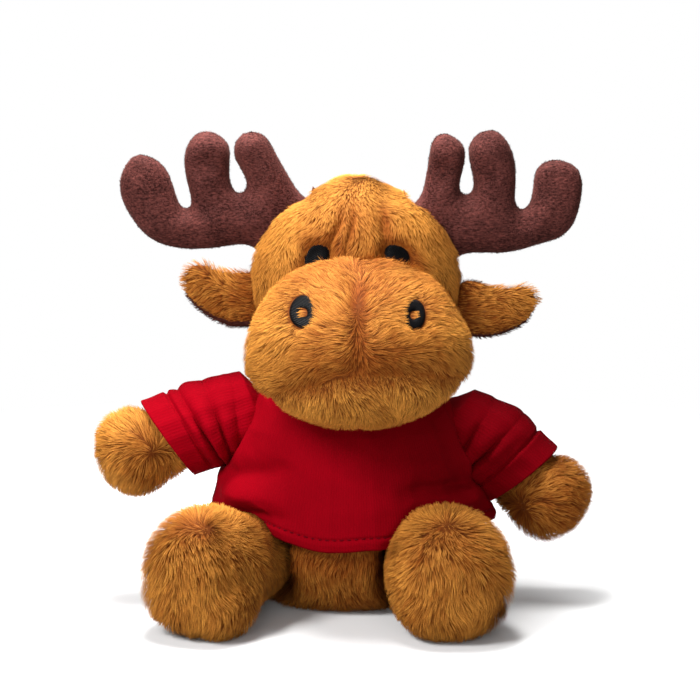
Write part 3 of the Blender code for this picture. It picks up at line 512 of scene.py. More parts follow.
def operator_pair(operation: str) -> tuple[Callable, Callable]:
    """Makes an operator for signals and its reflected form.

    Args:
        operation: the maths node's operation.

    Returns:
        The method with the signal first, and the one with it second.
    """

    def straight(signal: "Signal", other: "Value") -> "Signal":
        """The sum with the signal first."""
        return signal.graph.maths(operation, signal, other)

    def reflected(signal: "Signal", other: "Value") -> "Signal":
        """The sum with the signal second."""
        return signal.graph.maths(operation, other, signal)

    return straight, reflected


class Signal:
    """A value, vector or colour that flows through a material's nodes."""

    def __init__(self, graph: "Graph", socket: bpy.types.NodeSocket) -> None:
        """Wraps one output socket of a graph."""
        self.graph = graph
        self.socket = socket

    __add__, __radd__ = operator_pair("ADD")
    __sub__, __rsub__ = operator_pair("SUBTRACT")
    __mul__, __rmul__ = operator_pair("MULTIPLY")
    __truediv__, __rtruediv__ = operator_pair("DIVIDE")
    __pow__, __rpow__ = operator_pair("POWER")

    def clamped(self) -> "Signal":
        """The value kept between nothing and one."""
        return self.graph.maths("ADD", self, 0.0, clamp=True)


Value = Signal | float


class Graph:
    """The nodes of one material or of the world."""

    UNSTRETCHED = (1.0, 1.0, 1.0)

    def __init__(self, owner: bpy.types.Material | bpy.types.World) -> None:
        """Empties the nodes of their owner.

        Args:
            owner: the material or the world.
        """
        owner.use_nodes = True
        self.owner = owner
        self.tree = owner.node_tree
        self.tree.nodes.clear()

    def node(self, kind: str, settings: dict, inputs: dict) -> bpy.types.Node:
        """Adds one node.

        Args:
            kind: the node's type.
            settings: properties to set first.
            inputs: socket names or numbers, with values or signals.

        Returns:
            The node.
        """
        node = self.tree.nodes.new(kind)
        for key, value in settings.items():
            setattr(node, key, value)
        for key, value in inputs.items():
            if isinstance(value, Signal):
                self.tree.links.new(value.socket, node.inputs[key])
            else:
                node.inputs[key].default_value = value
        return node

    def maths(self, operation: str, first: Value, second: Value, clamp: bool = False) -> Signal:
        """Adds one sum of two values.

        Args:
            operation: what is done.
            first: the first value.
            second: the second value.
            clamp: whether the result stays between 0 and 1.

        Returns:
            The result.
        """
        settings = {"operation": operation, "use_clamp": clamp}
        node = self.node("ShaderNodeMath", settings, {0: first, 1: second})
        return Signal(self, node.outputs[0])

    def vector_maths(self, operation: str, first: Signal, second: Triple) -> Signal:
        """Adds one sum of a vector and a fixed vector."""
        node = self.node("ShaderNodeVectorMath", {"operation": operation}, {0: first, 1: second})
        return Signal(self, node.outputs[0])

    def mix(self, share: Value, first: Signal | Triple, second: Signal | Triple) -> Signal:
        """Mixes two colours.

        Args:
            share: how much of the second one there is.
            first: the first colour.
            second: the second colour.

        Returns:
            The mixed colour.
        """
        inputs = {0: share, 6: first, 7: second}
        for socket in (6, 7):
            if not isinstance(inputs[socket], Signal):
                inputs[socket] = (*inputs[socket], 1.0)
        node = self.node("ShaderNodeMix", {"data_type": "RGBA"}, inputs)
        return Signal(self, node.outputs[2])

    def place(self, stretch: Triple = UNSTRETCHED) -> Signal:
        """The place on the object, stretched along each axis."""
        node = self.node("ShaderNodeTexCoord", {}, {})
        return self.vector_maths("MULTIPLY", Signal(self, node.outputs["Object"]), stretch)

    def noise(self, size: float, detail: float, stretch: Triple = UNSTRETCHED) -> Signal:
        """Cloudy noise whose patches have about that size in metres.

        Args:
            size: how large its patches are, in metres.
            detail: how much finer noise lies in them.
            stretch: how much finer it is along each axis.

        Returns:
            Values round one half.
        """
        inputs = {"Vector": self.place(stretch), "Scale": 1.0 / size, "Detail": detail}
        node = self.node("ShaderNodeTexNoise", {}, inputs)
        return Signal(self, node.outputs[0])

    def ribs(self, count: int) -> Signal:
        """Even ridges along a mapped cloth."""
        across, _ = self.strand_place()
        return self.maths("SINE", across * (2.0 * math.pi * count), 0.0) * 0.5 + 0.5

    def waves(self, pitch: float) -> Signal:
        """Slanting, slightly wavy ridges with that pitch in metres.

        Args:
            pitch: the distance from ridge to ridge, in metres.

        Returns:
            One on the ridges and nothing between them.
        """
        settings = {"wave_type": "BANDS", "bands_direction": "DIAGONAL", "wave_profile": "SIN"}
        inputs = {
            "Vector": self.place(),
            "Scale": math.pi / (10.0 * pitch),
            "Distortion": 0.8,
            "Detail": 1.0,
            "Detail Scale": 2.0,
        }
        node = self.node("ShaderNodeTexWave", settings, inputs)
        return Signal(self, node.outputs["Fac"])

    def parts(self, vector: Signal) -> tuple[Signal, Signal]:
        """The first two parts of a vector."""
        node = self.node("ShaderNodeSeparateXYZ", {}, {0: vector})
        return Signal(self, node.outputs[0]), Signal(self, node.outputs[1])

    def sideways(self) -> Signal:
        """How far to the toy's left a place is, in metres."""
        return self.parts(self.place())[0]

    def strand_place(self) -> tuple[Signal, Signal]:
        """The tone of a strand and the place along it, from its own map."""
        node = self.node("ShaderNodeUVMap", {"uv_map": UV_NAME}, {})
        return self.parts(Signal(self, node.outputs[0]))

    def bump(self, height: Signal, distance: float, strength: float) -> Signal:
        """A normal that follows a height."""
        inputs = {"Height": height, "Distance": distance, "Strength": strength}
        return Signal(self, self.node("ShaderNodeBump", {}, inputs).outputs[0])

    def mix_shaders(self, share: Signal, first: Signal, second: Signal) -> Signal:
        """Mixes two shaders by a share."""
        node = self.node("ShaderNodeMixShader", {}, {0: share, 1: first, 2: second})
        return Signal(self, node.outputs[0])

    def distance(self, start: float, end: float) -> Signal:
        """From nothing to one between two distances from the middle of the floor."""
        reach = self.node("ShaderNodeVectorMath", {"operation": "LENGTH"}, {0: self.place()})
        return ((Signal(self, reach.outputs["Value"]) - start) / (end - start)).clamped()

    def shader(self, kind: str, inputs: dict) -> Signal:
        """Adds one shader."""
        return Signal(self, self.node(kind, {}, inputs).outputs[0])

    def camera_rays(self) -> Signal:
        """One for what the camera sees, and nothing for light on its way elsewhere."""
        return Signal(self, self.node("ShaderNodeLightPath", {}, {}).outputs["Is Camera Ray"])

    def end(self, shader: Signal, kind: str = "ShaderNodeOutputMaterial") -> bpy.types.ID:
        """Ends the graph in a shader and gives back its owner."""
        self.node(kind, {}, {"Surface": shader})
        return self.owner

    def finish(
        self, colour: Signal, roughness: Signal, specular: float, others: dict | None = None
    ) -> bpy.types.Material:
        """Ends the graph in the usual shader.

        Args:
            colour: its colour.
            roughness: its roughness.
            specular: how strongly it mirrors.
            others: the names of more of its sockets, with values or signals.

        Returns:
            The material.
        """
        inputs = {"Base Color": colour, "Roughness": roughness, "Specular IOR Level": specular}
        return self.end(self.shader("ShaderNodeBsdfPrincipled", inputs | (others or {})))


@dataclass(frozen=True)
class PileFinish:
    """Pile strands, with painted shade at the root and lighter at the tip.

    Attributes:
        dark: the darkest strands.
        light: the lightest strands.
        root: how light the root's painted shade is, as a share of the darkest strands.
    """

    dark: Triple
    light: Triple
    root: float

    def material(self, name: str) -> bpy.types.Material:
        """Makes the strands' material.

        Args:
            name: the material's name.

        Returns:
            The material.
        """
        graph = Graph(bpy.data.materials.new(name))
        tone, along = graph.strand_place()
        shade = graph.mix(tone ** 1.25, self.dark, self.light)
        # Painted shade at the root, deep in the pile
        depth = tuple(self.root * value for value in self.dark)
        reach = (along * 1.25).clamped()
        colour = graph.mix(reach ** 0.8, depth, shade)
        tip = tuple(min(1.0, 1.12 * value) for value in self.light)
        colour = graph.mix(along ** 3.0 * 0.25, colour, tip)
        return graph.finish(colour, 0.78 - tone * 0.1, 0.12)


@dataclass(frozen=True)
class BackingFinish:
    """The knitted backing seen between a pile's strands, darker as painted shade."""

    dark: Triple
    light: Triple

    def material(self, name: str) -> bpy.types.Material:
        """Makes the backing's material.

        Args:
            name: the material's name.

        Returns:
            The material.
        """
        graph = Graph(bpy.data.materials.new(name))
        cloud = graph.noise(6.0 * MM, 4.0)
        streaks = graph.noise(0.9 * MM, 3.0, (1.0, 1.0, 0.25))
        colour = graph.mix((cloud * 0.6 + streaks * 0.4).clamped(), self.dark, self.light)
        normal = graph.bump(streaks, 0.6 * MM, 0.7)
        return graph.finish(colour, 0.85 + streaks * 0.1, 0.15, {"Normal": normal})


@dataclass(frozen=True)
class VelboaFinish:
    """Short napped velboa, mottled where its nap lies different ways."""

    dark: Triple
    light: Triple

    def material(self, name: str) -> bpy.types.Material:
        """Makes the napped cloth's material.

        Args:
            name: the material's name.

        Returns:
            The material.
        """
        graph = Graph(bpy.data.materials.new(name))
        mottle = graph.noise(0.6 * MM, 2.0, (0.45, 1.0, 1.0))
        patches = graph.noise(8.0 * MM, 2.0)
        nap = graph.noise(0.35 * MM, 2.0)
        share = (mottle * 2.2 - 0.75 + (patches - 0.5) * 0.9).clamped()
        others = {
            "Normal": graph.bump(mottle * 0.6 + nap * 0.4, 0.5 * MM, 0.8),
            "Sheen Weight": 0.25,
            "Sheen Roughness": 0.4,
            "Sheen Tint": (0.8, 0.35, 0.3, 1.0),
        }
        colour = graph.mix(share, self.dark, self.light)
        return graph.finish(colour, 0.95 - mottle * 0.2, 0.12, others)


@dataclass(frozen=True)
class JerseyFinish:
    """Fine knitted jersey with its ribs, pills, soft sheen and painted shade.

    Attributes:
        colour: the cloth's colour.
        deep: its darker colour, also painted shade between the ribs and to the toy's left.
        ribs: how many ribs lie across a piece.
    """

    colour: Triple
    deep: Triple
    ribs: int
    # How far to the toy's left the painted shade reaches its full strength
    PAINTED_SHADE_WITHIN: ClassVar[float] = 30.0 * MM

    def material(self, name: str) -> bpy.types.Material:
        """Makes the knitted cloth's material.

        Args:
            name: the material's name.

        Returns:
            The material.
        """
        graph = Graph(bpy.data.materials.new(name))
        ribs = graph.ribs(self.ribs)
        loops = graph.noise(0.5 * MM, 2.0)
        cloud = graph.noise(14.0 * MM, 3.0)
        # Painted shade: the cloth turns halfway to its darker colour on the toy's left, away from the
        # key lamp
        deeper = (graph.sideways() / self.PAINTED_SHADE_WITHIN).clamped() * 0.5
        # The ribs' colour darkens between them as painted shade in the grooves; the pills and clouds
        # vary at random
        share = (ribs * 0.15 + loops * 0.45 + cloud * 0.5 - deeper).clamped()
        colour = graph.mix(share, self.deep, self.colour)
        normal = graph.bump(ribs * 0.4 + loops * 0.6, 0.2 * MM, 0.5)
        return graph.finish(colour, 0.78 + loops * 0.15, 0.03, {"Normal": normal})


@dataclass(frozen=True)
class ThreadFinish:
    """Satin stitch: thread laid side by side, with a painted highlight on its ridges."""

    colour: Triple
    painted_highlight: Triple
    pitch: float

    def material(self, name: str) -> bpy.types.Material:
        """Makes the stitched thread's material.

        Args:
            name: the material's name.

        Returns:
            The material.
        """
        graph = Graph(bpy.data.materials.new(name))
        threads = graph.waves(self.pitch)
        fuzz = graph.noise(0.4 * MM, 3.0)
        # Painted highlight: the threads' ridges lighten towards the highlight colour
        share = (threads * 0.6 + fuzz * 0.4) ** 2.0
        colour = graph.mix(share, self.colour, self.painted_highlight)
        normal = graph.bump(threads * 0.8 + fuzz * 0.2, 0.25 * MM, 0.9)
        return graph.finish(colour, 0.62 - threads * 0.2, 0.07, {"Normal": normal})


@dataclass(frozen=True)
class StudioFinish:
    """The plain pale surface under and behind the toy.

    Attributes:
        colour: what the camera sees.
        thrown: the colour of the light that it throws back.
        clear_from: how far from the toy it starts to turn white.
        clear_to: how far from the toy it is white.
    """

    colour: Triple
    thrown: Triple
    clear_from: float
    clear_to: float

    def material(self, name: str) -> bpy.types.Material:
        """Makes the backdrop's material, which throws little light back at the toy.

        Args:
            name: the material's name.

        Returns:
            The material.
        """
        graph = Graph(bpy.data.materials.new(name))
        thrown = graph.shader("ShaderNodeBsdfDiffuse", {"Color": (*self.thrown, 1.0)})
        plain = {"Base Color": (*self.colour, 1.0), "Roughness": 0.85, "Specular IOR Level": 0.1}
        seen = graph.shader("ShaderNodeBsdfPrincipled", plain)
        white = graph.shader("ShaderNodeEmission", {"Strength": 1.0})
        near = graph.mix_shaders(graph.distance(self.clear_from, self.clear_to), seen, white)
        return graph.end(graph.mix_shaders(graph.camera_rays(), thrown, near))


@dataclass(frozen=True)
class Plush:
    """A cloth with a pile.

    Attributes:
        slot: the record's material slot.
        backing: the cloth that the pile stands on.
        strands: the pile.
    """

    slot: str
    backing: bpy.types.Material
    strands: bpy.types.Material


class Finishes:
    """Every material of the toy, made once."""

    def __init__(self) -> None:
        """Makes the materials."""
        # Each backing below is darker than its pile: painted shade deep in the pile
        pile = PileFinish((0.31, 0.062, 0.005), (0.97, 0.425, 0.07), 0.5).material("caramel_pile")
        knit = BackingFinish((0.1, 0.023, 0.003), (0.21, 0.053, 0.006)).material("caramel_backing")
        self.caramel = Plush("caramel_plush", knit, pile)
        pile = PileFinish((0.08, 0.022, 0.015), (0.2, 0.065, 0.045), 0.5).material("dark_pile")
        knit = BackingFinish((0.05, 0.015, 0.01), (0.12, 0.038, 0.026)).material("dark_backing")
        self.dark = Plush("dark_plush", knit, pile)
        # The nap is lighter than the velboa under it: painted sheen, strongest along the antlers'
        # edges
        pile = PileFinish((0.05, 0.013, 0.011), (0.27, 0.083, 0.07), 0.8).material("antler_nap")
        knit = VelboaFinish((0.028, 0.006, 0.005), (0.19, 0.052, 0.043)).material("velboa")
        self.velboa = Plush("antler_velboa", knit, pile)
        self.jersey = JerseyFinish((0.31, 0.0, 0.006), (0.17, 0.0, 0.003), 140).material("jersey")
        # The sleeves and the neckband use a lighter copy of the jersey: painted light for the lit
        # sleeves
        self.band = JerseyFinish((0.37, 0.0, 0.0075), (0.18, 0.0, 0.0033), 90).material("band")
        black = ThreadFinish((0.001, 0.001, 0.0012), (0.006, 0.006, 0.007), 0.5 * MM)
        self.black_thread = black.material("black_thread")
        red = ThreadFinish((0.12, 0.0, 0.004), (0.25, 0.002, 0.01), 0.3 * MM)
        self.red_thread = red.material("red_thread")
        pale = StudioFinish((0.93, 0.93, 0.93), (0.3, 0.3, 0.3), 0.16, 0.4)
        self.studio = pale.material("studio")


@dataclass(frozen=True)
class Pile:
    """How a pile stands on its backing.

    Attributes:
        length: how long its strands are, in metres.
        rise: their lean from the surface at the root, in degrees.
        lay: their lean from the surface at the tip, in degrees.
        density: strands on a square millimetre.
        width: how wide a strand is at its root.
        clump: how many strands cling together in a lock.
        pull: how far a lock's tips are drawn together.
        waver: how far strands stray from their direction.
        mottle: how far strands differ in tone and lift.
    """

    length: float
    rise: float
    lay: float
    density: float
    width: float
    clump: int
    pull: float
    waver: float
    mottle: float = 1.0


LONG_PILE = Pile(6.2 * MM, 44.0, 10.0, 3.6, 0.2 * MM, 22, 0.24, 0.13)
FOOT_PILE = Pile(6.0 * MM, 50.0, 16.0, 3.9, 0.19 * MM, 20, 0.22, 0.13)
PAW_PILE = Pile(6.2 * MM, 48.0, 12.0, 3.8, 0.2 * MM, 26, 0.3, 0.14)
BROW_PILE = Pile(4.2 * MM, 32.0, 4.0, 5.6, 0.19 * MM, 10, 0.1, 0.08, 0.35)
MUZZLE_PILE = Pile(5.2 * MM, 40.0, 6.0, 4.4, 0.18 * MM, 20, 0.2, 0.11, 0.8)
CHIN_PILE = Pile(4.0 * MM, 42.0, 12.0, 4.4, 0.18 * MM, 14, 0.14, 0.13)
EAR_PILE = Pile(4.6 * MM, 44.0, 12.0, 3.8, 0.2 * MM, 18, 0.26, 0.15)
LINING_PILE = Pile(1.8 * MM, 50.0, 20.0, 4.0, 0.2 * MM, 12, 0.2, 0.25)
NAP = Pile(0.8 * MM, 50.0, 25.0, 3.4, 0.15 * MM, 9, 0.15, 0.4)
WISP_SHARE = 0.22

# Each strand has two corners at each of three places along it and one at its tip
STRAND_PLACES = (0.0, 0.38, 0.74, 1.0)
STRAND_WIDTHS = (1.0, 0.92, 0.62)
STRAND_FACES = ((0, 1, 3, 2), (2, 3, 5, 4), (4, 5, 6))
STRAND_SIDES = (-1.0, 1.0, -1.0, 1.0, -1.0, 1.0, 0.0)


@dataclass
class Coat:
    """A pile on one surface.

    Attributes:
        surface: what it grows on.
        pile: how it stands.
        seed: what makes it repeat.
        flow: the direction that it is combed in at each point.
        keep: where it grows; None is everywhere.
        length_at: how long it is at each point, as a share of the pile's length.
        tone_at: how much lighter it is at each point.
    """

    surface: Surface
    pile: Pile
    seed: int
    flow: PointMap
    keep: Optional[PointMap] = None
    length_at: Optional[PointMap] = None
    tone_at: Optional[PointMap] = None
    # How wide the waves of the hair's direction are, and how far they turn it
    STRAY: ClassVar[Pair] = (7.0 * MM, 0.45)
    SWIRL: ClassVar[Pair] = (16.0 * MM, 0.4)
    # The lowest and the highest share of the pile's length, pull and width, and of a tone
    LENGTHS: ClassVar[Pair] = (0.68, 1.08)
    PULLS: ClassVar[Pair] = (0.6, 1.1)
    WIDTHS: ClassVar[Pair] = (0.75, 1.2)
    TONES: ClassVar[Pair] = (0.03, 0.97)
    # How far lift, tones and shading differ at a mottle of one
    LIFT_SPREAD: ClassVar[float] = 0.16
    CLUMP_SPREAD: ClassVar[float] = 0.09
    STRAND_SPREAD: ClassVar[float] = 0.11
    SHADING_SPREAD: ClassVar[float] = 0.2
    PATCH_SIZE: ClassVar[float] = 10.0 * MM
    PATCH_SPREAD: ClassVar[float] = 0.1

    def roots(self, draws: np.random.Generator) -> tuple[Array, Array]:
        """Draws the places of the strands.

        Args:
            draws: where the random numbers come from.

        Returns:
            The roots and the outward directions there.
        """
        areas = np.linalg.norm(self.surface.face_vectors(), axis=1) / 2.0
        density = self.pile.density * 1.0
        count = int(areas.sum() / (MM * MM) * density)
        total = np.cumsum(areas)
        faces = np.searchsorted(total, draws.random(count) * total[-1])
        corners = self.surface.triangles[np.minimum(faces, len(areas) - 1)]
        shares = draws.random((count, 2))
        folded = shares.sum(axis=1) > 1.0
        shares[folded] = 1.0 - shares[folded]
        weights = np.column_stack([1.0 - shares.sum(axis=1), shares])[:, :, None]
        roots = (self.surface.points[corners] * weights).sum(axis=1)
        outward = unit((self.surface.normals()[corners] * weights).sum(axis=1))
        if self.keep is not None:
            kept = self.keep(roots)
            roots, outward = roots[kept], outward[kept]
        return roots, outward

    def centre_lines(
        self, roots: Array, outward: Array, draws: np.random.Generator
    ) -> tuple[Array, Array]:
        """Grows each strand and draws the clumps together.

        Args:
            roots: where the strands start.
            outward: the outward directions there.
            draws: where the random numbers come from.

        Returns:
            The points along every strand, and the number of the clump that each is in.
        """
        count = len(roots)
        stray = WaveNoise(self.seed + 11, self.STRAY[0]).at(roots)
        swirl = WaveNoise(self.seed + 12, self.SWIRL[0]).at(roots)
        lean = unit(self.flow(roots))
        sideways = unit(np.cross(outward, lean))
        turn = self.STRAY[1] * stray + self.SWIRL[1] * swirl
        lean = unit(lean + sideways * turn[:, None])
        lean = lean + draws.normal(size=(count, 3)) * self.pile.waver
        lean = unit(lean - outward * (lean * outward).sum(axis=1)[:, None])
        lengths = self.pile.length * draws.uniform(*self.LENGTHS, count)
        if self.length_at is not None:
            lengths *= self.length_at(roots)
        lift = draws.normal(1.0, self.LIFT_SPREAD * self.pile.mottle, count)
        places = [roots]
        for start, end in zip(STRAND_PLACES, STRAND_PLACES[1:]):
            middle = (start + end) / 2.0
            angle = np.radians(self.pile.rise + (self.pile.lay - self.pile.rise) * middle) * lift
            direction = lean * np.cos(angle)[:, None] + outward * np.sin(angle)[:, None]
            places.append(places[-1] + direction * (lengths * (end - start))[:, None])
        lines, _ = self.clumped(np.stack(places, axis=1), self.pile.clump * WISP_SHARE, draws)
        return self.clumped(lines, self.pile.clump, draws)

    def clumped(
        self, lines: Array, size: float, draws: np.random.Generator
    ) -> tuple[Array, Array]:
        """Draws the tips of each clump together.

        Args:
            lines: the points along every strand.
            size: how many strands cling together.
            draws: where the random numbers come from.

        Returns:
            The new points, and the number of the clump that each strand is in.
        """
        count = len(lines)
        leaders = draws.choice(count, max(1, int(count / size)), replace=False)
        tree = search_tree(lines[leaders, 0])
        numbers = np.array([tree.find(root)[1] for root in lines[:, 0]])
        led = lines[leaders[numbers]]
        pulls = self.pile.pull * draws.uniform(*self.PULLS, count)
        for step, place in enumerate(STRAND_PLACES):
            share = (pulls * place ** 1.4)[:, None]
            lines[:, step] += (led[:, step] - lines[:, step]) * share
        return lines, numbers

    def tones(self, roots: Array, clumps: Array, draws: np.random.Generator) -> Array:
        """How light each strand is, from nothing to one.

        Args:
            roots: where the strands start.
            clumps: the number of the clump that each is in.
            draws: where the random numbers come from.

        Returns:
            One tone a strand.
        """
        mottle = self.pile.mottle
        patches = WaveNoise(self.seed + 21, self.PATCH_SIZE).at(roots)
        clump_tones = draws.normal(0.0, self.CLUMP_SPREAD * mottle, int(clumps.max()) + 1)
        tones = 0.5 + self.PATCH_SPREAD * patches + clump_tones[clumps]
        tones += draws.normal(0.0, self.STRAND_SPREAD * mottle, len(roots))
        if self.tone_at is not None:
            tones += self.tone_at(roots)
        return np.clip(tones, *self.TONES)

    def build(self, name: str, body: str, cloth: Plush) -> None:
        """Adds the strands as one piece.

        Args:
            name: the piece's name.
            body: the body that it rides on.
            cloth: the cloth whose strands they are.
        """
        draws = np.random.default_rng(self.seed)
        roots, outward = self.roots(draws)
        lines, clumps = self.centre_lines(roots, outward, draws)
        tones = self.tones(roots, clumps, draws)
        lift_off_floor(lines)
        across = unit(np.cross(lines[:, -1] - lines[:, 0], outward))
        count = len(lines)
        widths = self.pile.width / 2.0 * draws.uniform(*self.WIDTHS, count)
        corners = []
        for step, share in enumerate(STRAND_WIDTHS):
            offset = across * (widths * share)[:, None]
            corners += [lines[:, step] - offset, lines[:, step] + offset]
        points = np.stack([*corners, lines[:, -1]], axis=1).reshape(-1, 3)
        sides = [len(face) for face in STRAND_FACES]
        pattern = np.concatenate(STRAND_FACES)
        strands = np.arange(count)[:, None]
        starts = strands * sum(sides) + np.cumsum([0, *sides[:-1]])
        mesh = new_mesh(name, points, strands * len(STRAND_SIDES) + pattern, starts, cloth.strands)
        maps = np.empty((count, len(pattern), 2))
        maps[:, :, 0] = tones[:, None] + np.array(STRAND_SIDES)[pattern] * 0.01
        maps[:, :, 1] = inside_map(np.repeat(STRAND_PLACES, (2, 2, 2, 1))[pattern])
        lay_map(mesh, maps)
        stray = draws.normal(size=(count, 3)) * self.SHADING_SPREAD * self.pile.mottle
        shading = unit(outward + stray)
        mesh.normals_split_custom_set_from_vertices(np.repeat(shading, len(STRAND_SIDES), axis=0))
        piece = place_object(name, mesh)
        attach(piece, body)
        LOG.info("%s: %d strands", name, count)


@dataclass(frozen=True)
class Whorl:
    """Hair that parts at one place and runs away from it.

    Attributes:
        centre: where it parts.
        stretch: how fast it turns away along each axis.
        bias: the direction that it keeps everywhere.
    """

    centre: Triple
    stretch: Triple
    bias: Triple

    def __call__(self, points: Array) -> Array:
        """The direction at each point."""
        away = (points - np.array(self.centre)) * np.array(self.stretch)
        return unit(away) + np.array(self.bias)


@dataclass(frozen=True)
class Member:
    """What every stuffed member of the toy has.

    Attributes:
        finishes: the toy's materials.
        body: the body that it rides on.
        seed: what makes its pile repeat.
    """

    finishes: Finishes
    body: str
    seed: int

    def stuffed(
        self,
        name: str,
        surface: Surface,
        nodes: Sequence[str],
        fill: float = 0.9,
        cloth: Optional[Plush] = None,
    ) -> None:
        """Adds a stuffed skin that stands for some nodes.

        Args:
            name: the piece's name.
            surface: its form.
            nodes: the nodes that it stands for.
            fill: how tightly it is stuffed, from 0 to 1; not used.
            cloth: what it is made of; None is the caramel plush.
        """
        cloth = cloth or self.finishes.caramel
        piece = add_piece(name, surface.points, surface.triangles, cloth.backing)
        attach(piece, self.body)
        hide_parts(*nodes)

    def grow(self, name: str, coat: Coat, cloth: Optional[Plush] = None) -> None:
        """Adds a pile that rides with this member; its cloth is the caramel plush or another."""
        coat.build(name, self.body, cloth or self.finishes.caramel)


class Limb:
    """The line that an arm or a leg lies along, read from the frame."""

    def __init__(self, kind: str, joint: str, side: Side) -> None:
        """Reads one limb.

        Args:
            kind: arm or leg.
            joint: the name of its joint without the side.
            side: the toy's side.
        """
        name = f"{kind}_{side.value}"
        joints = {item["name"]: item for item in frame["record"]["behaviour"]["joints"]}
        self.pivot = np.array(joints[f"{joint}_{side.value}"]["pos_m"])
        filling = node_points(f"{name}_filling")
        self.axis = unit((filling.mean(axis=0) - self.pivot)[None])[0]
        self.length = float(((node_points(f"{name}_skin") - self.pivot) @ self.axis).max())
        upward = np.array([0.0, 0.0, 1.0])
        self.upward = unit((upward - self.axis * (upward @ self.axis))[None])[0]
        self.sideways = np.cross(self.axis, self.upward)

    def along(self, points: Array) -> Array:
        """How far each point lies along the limb from its pivot."""
        return (points - self.pivot) @ self.axis

    def radius_at(self, points: Array) -> Array:
        """How far each point lies from the limb's line."""
        offset = points - self.pivot
        return np.linalg.norm(offset - np.outer(offset @ self.axis, self.axis), axis=1)

    def place(self, along: float, sideways: float, upward: float) -> Array:
        """A point given along, beside and above the limb's line."""
        return self.pivot + self.axis * along + self.sideways * sideways + self.upward * upward


@dataclass(frozen=True)
class Leg(Member):
    """A leg with its foot and sole.

    Attributes:
        side: the toy's side.
        parting: how much the hair parts along a level line instead of round a point.
        inset: how deep under the solid's face its pile stands.
        shave: how much further in it stands beside the other foot.
        corner: how far the foot's lower inner corner stands out.
    """

    side: Side
    parting: float
    inset: float
    shave: float
    corner: float
    FOOT_RADIUS: ClassVar[float] = 24.0 * MM
    OUTER_CORNER: ClassVar[float] = 1.4 * MM
    PARTING_DIRECTION: ClassVar[Triple] = (0.03, -0.64, 0.77)
    PARTING_SINK: ClassVar[float] = 1.5 * MM

    def form(self, nodes: Sequence[str], limb: Limb, part: Array) -> Surface:
        """The leg's form, drawn in at the parting and beside the other foot.

        Args:
            nodes: the nodes that lie in it.
            limb: the leg's line.
            part: where its hair parts.

        Returns:
            The form's surface.
        """
        surface = Surface.from_nodes(nodes, 1.7 * MM, 16)
        offset = surface.points - part
        near = bump_at(np.linalg.norm(offset * [0.5, 0.5, 1.0], axis=1), 7.0 * MM)
        inward = self.inward(surface.points, limb)
        front = step_between(0.45 * limb.length, 0.7 * limb.length, limb.along(surface.points))
        raised = step_between(5.0 * MM, 24.0 * MM, surface.points[:, 2])
        shave = self.shave * step_between(6.0 * MM, 20.0 * MM, inward) * raised * front
        low_corner = step_between(6.0 * MM, 16.0 * MM, np.abs(inward)) * front * (1.0 - raised)
        low_corner *= np.where(inward > 0.0, self.corner, self.OUTER_CORNER)
        return surface.moved(low_corner - near * self.PARTING_SINK - shave - self.inset)

    def inward(self, points: Array, limb: Limb) -> Array:
        """How far each point lies from the foot's middle towards the other foot."""
        return -self.side.sign * (points[:, 0] - limb.place(limb.length, 0.0, 0.0)[0])

    def build(self, covers: Sequence[Cover]) -> Surface:
        """Adds the leg's pieces.

        Args:
            covers: surfaces that hide the leg's skin.

        Returns:
            The leg's surface.
        """
        name = self.side.value
        limb = Limb("leg", "hip", self.side)
        nodes = [f"leg_{name}_skin", f"leg_{name}_filling", f"sole_{name}"]
        part = limb.place(limb.length - self.FOOT_RADIUS, 0.0, 0.0)
        part = part + np.array(self.PARTING_DIRECTION) * self.FOOT_RADIUS
        surface = self.form(nodes, limb, part)
        centres = surface.face_centres()
        sole = box_middle(nodes[2])
        low, high = node_box(nodes[2])
        half = (high - low) / 2.0
        across = (centres - sole) @ limb.sideways / half[0]
        above = (centres[:, 2] - sole[2]) / half[2]
        is_sole = (across ** 2 + above ** 2 < 1.0) & (limb.along(centres) > 0.7 * limb.length)
        self.stuffed(f"leg_{name}_plush", surface.part(~is_sole), nodes[:2])
        self.stuffed(f"sole_{name}_plush", surface.part(is_sole), nodes[2:])
        spread = (self.parting, 0.3 + 0.7 * self.parting, 1.0)
        flow = Whorl(tuple(part + [0.0, 3.0 * MM, 0.0]), spread, (0.0, 0.0, -0.45))

        def keep(points: Array) -> Array:
            """Clear of the body and of the floor."""
            return clear_of(points, covers, COVER_MARGIN) & (points[:, 2] > 1.2 * MM)

        def length_at(points: Array) -> Array:
            """Shorter at the parting, near the floor and beside the other foot.

            Args:
                points: places, one a row.

            Returns:
                The share of the pile's length at each point.
            """
            distance = np.linalg.norm(points - part, axis=1)
            share = 1.12 - 0.35 * bump_at(distance, 10.0 * MM)
            share = share - 0.35 * bump_at(points[:, 2], 6.0 * MM)
            return share * (1.0 - 0.4 * step_between(12.0 * MM, 20.0 * MM, self.inward(points, limb)))

        def tone_at(points: Array) -> Array:
            """Painted shade in the parting's dent.

            Args:
                points: places, one a row.

            Returns:
                How much lighter each point is.
            """
            weights = [max(0.3, self.parting), 1.0, 1.0]
            distance = np.linalg.norm((points - part) * weights, axis=1)
            return 0.02 - 0.3 * bump_at(distance, 5.0 * MM)

        coat = Coat(surface, FOOT_PILE, self.seed, flow, keep, length_at, tone_at)
        self.grow(f"leg_{name}_pile", coat)
        return surface


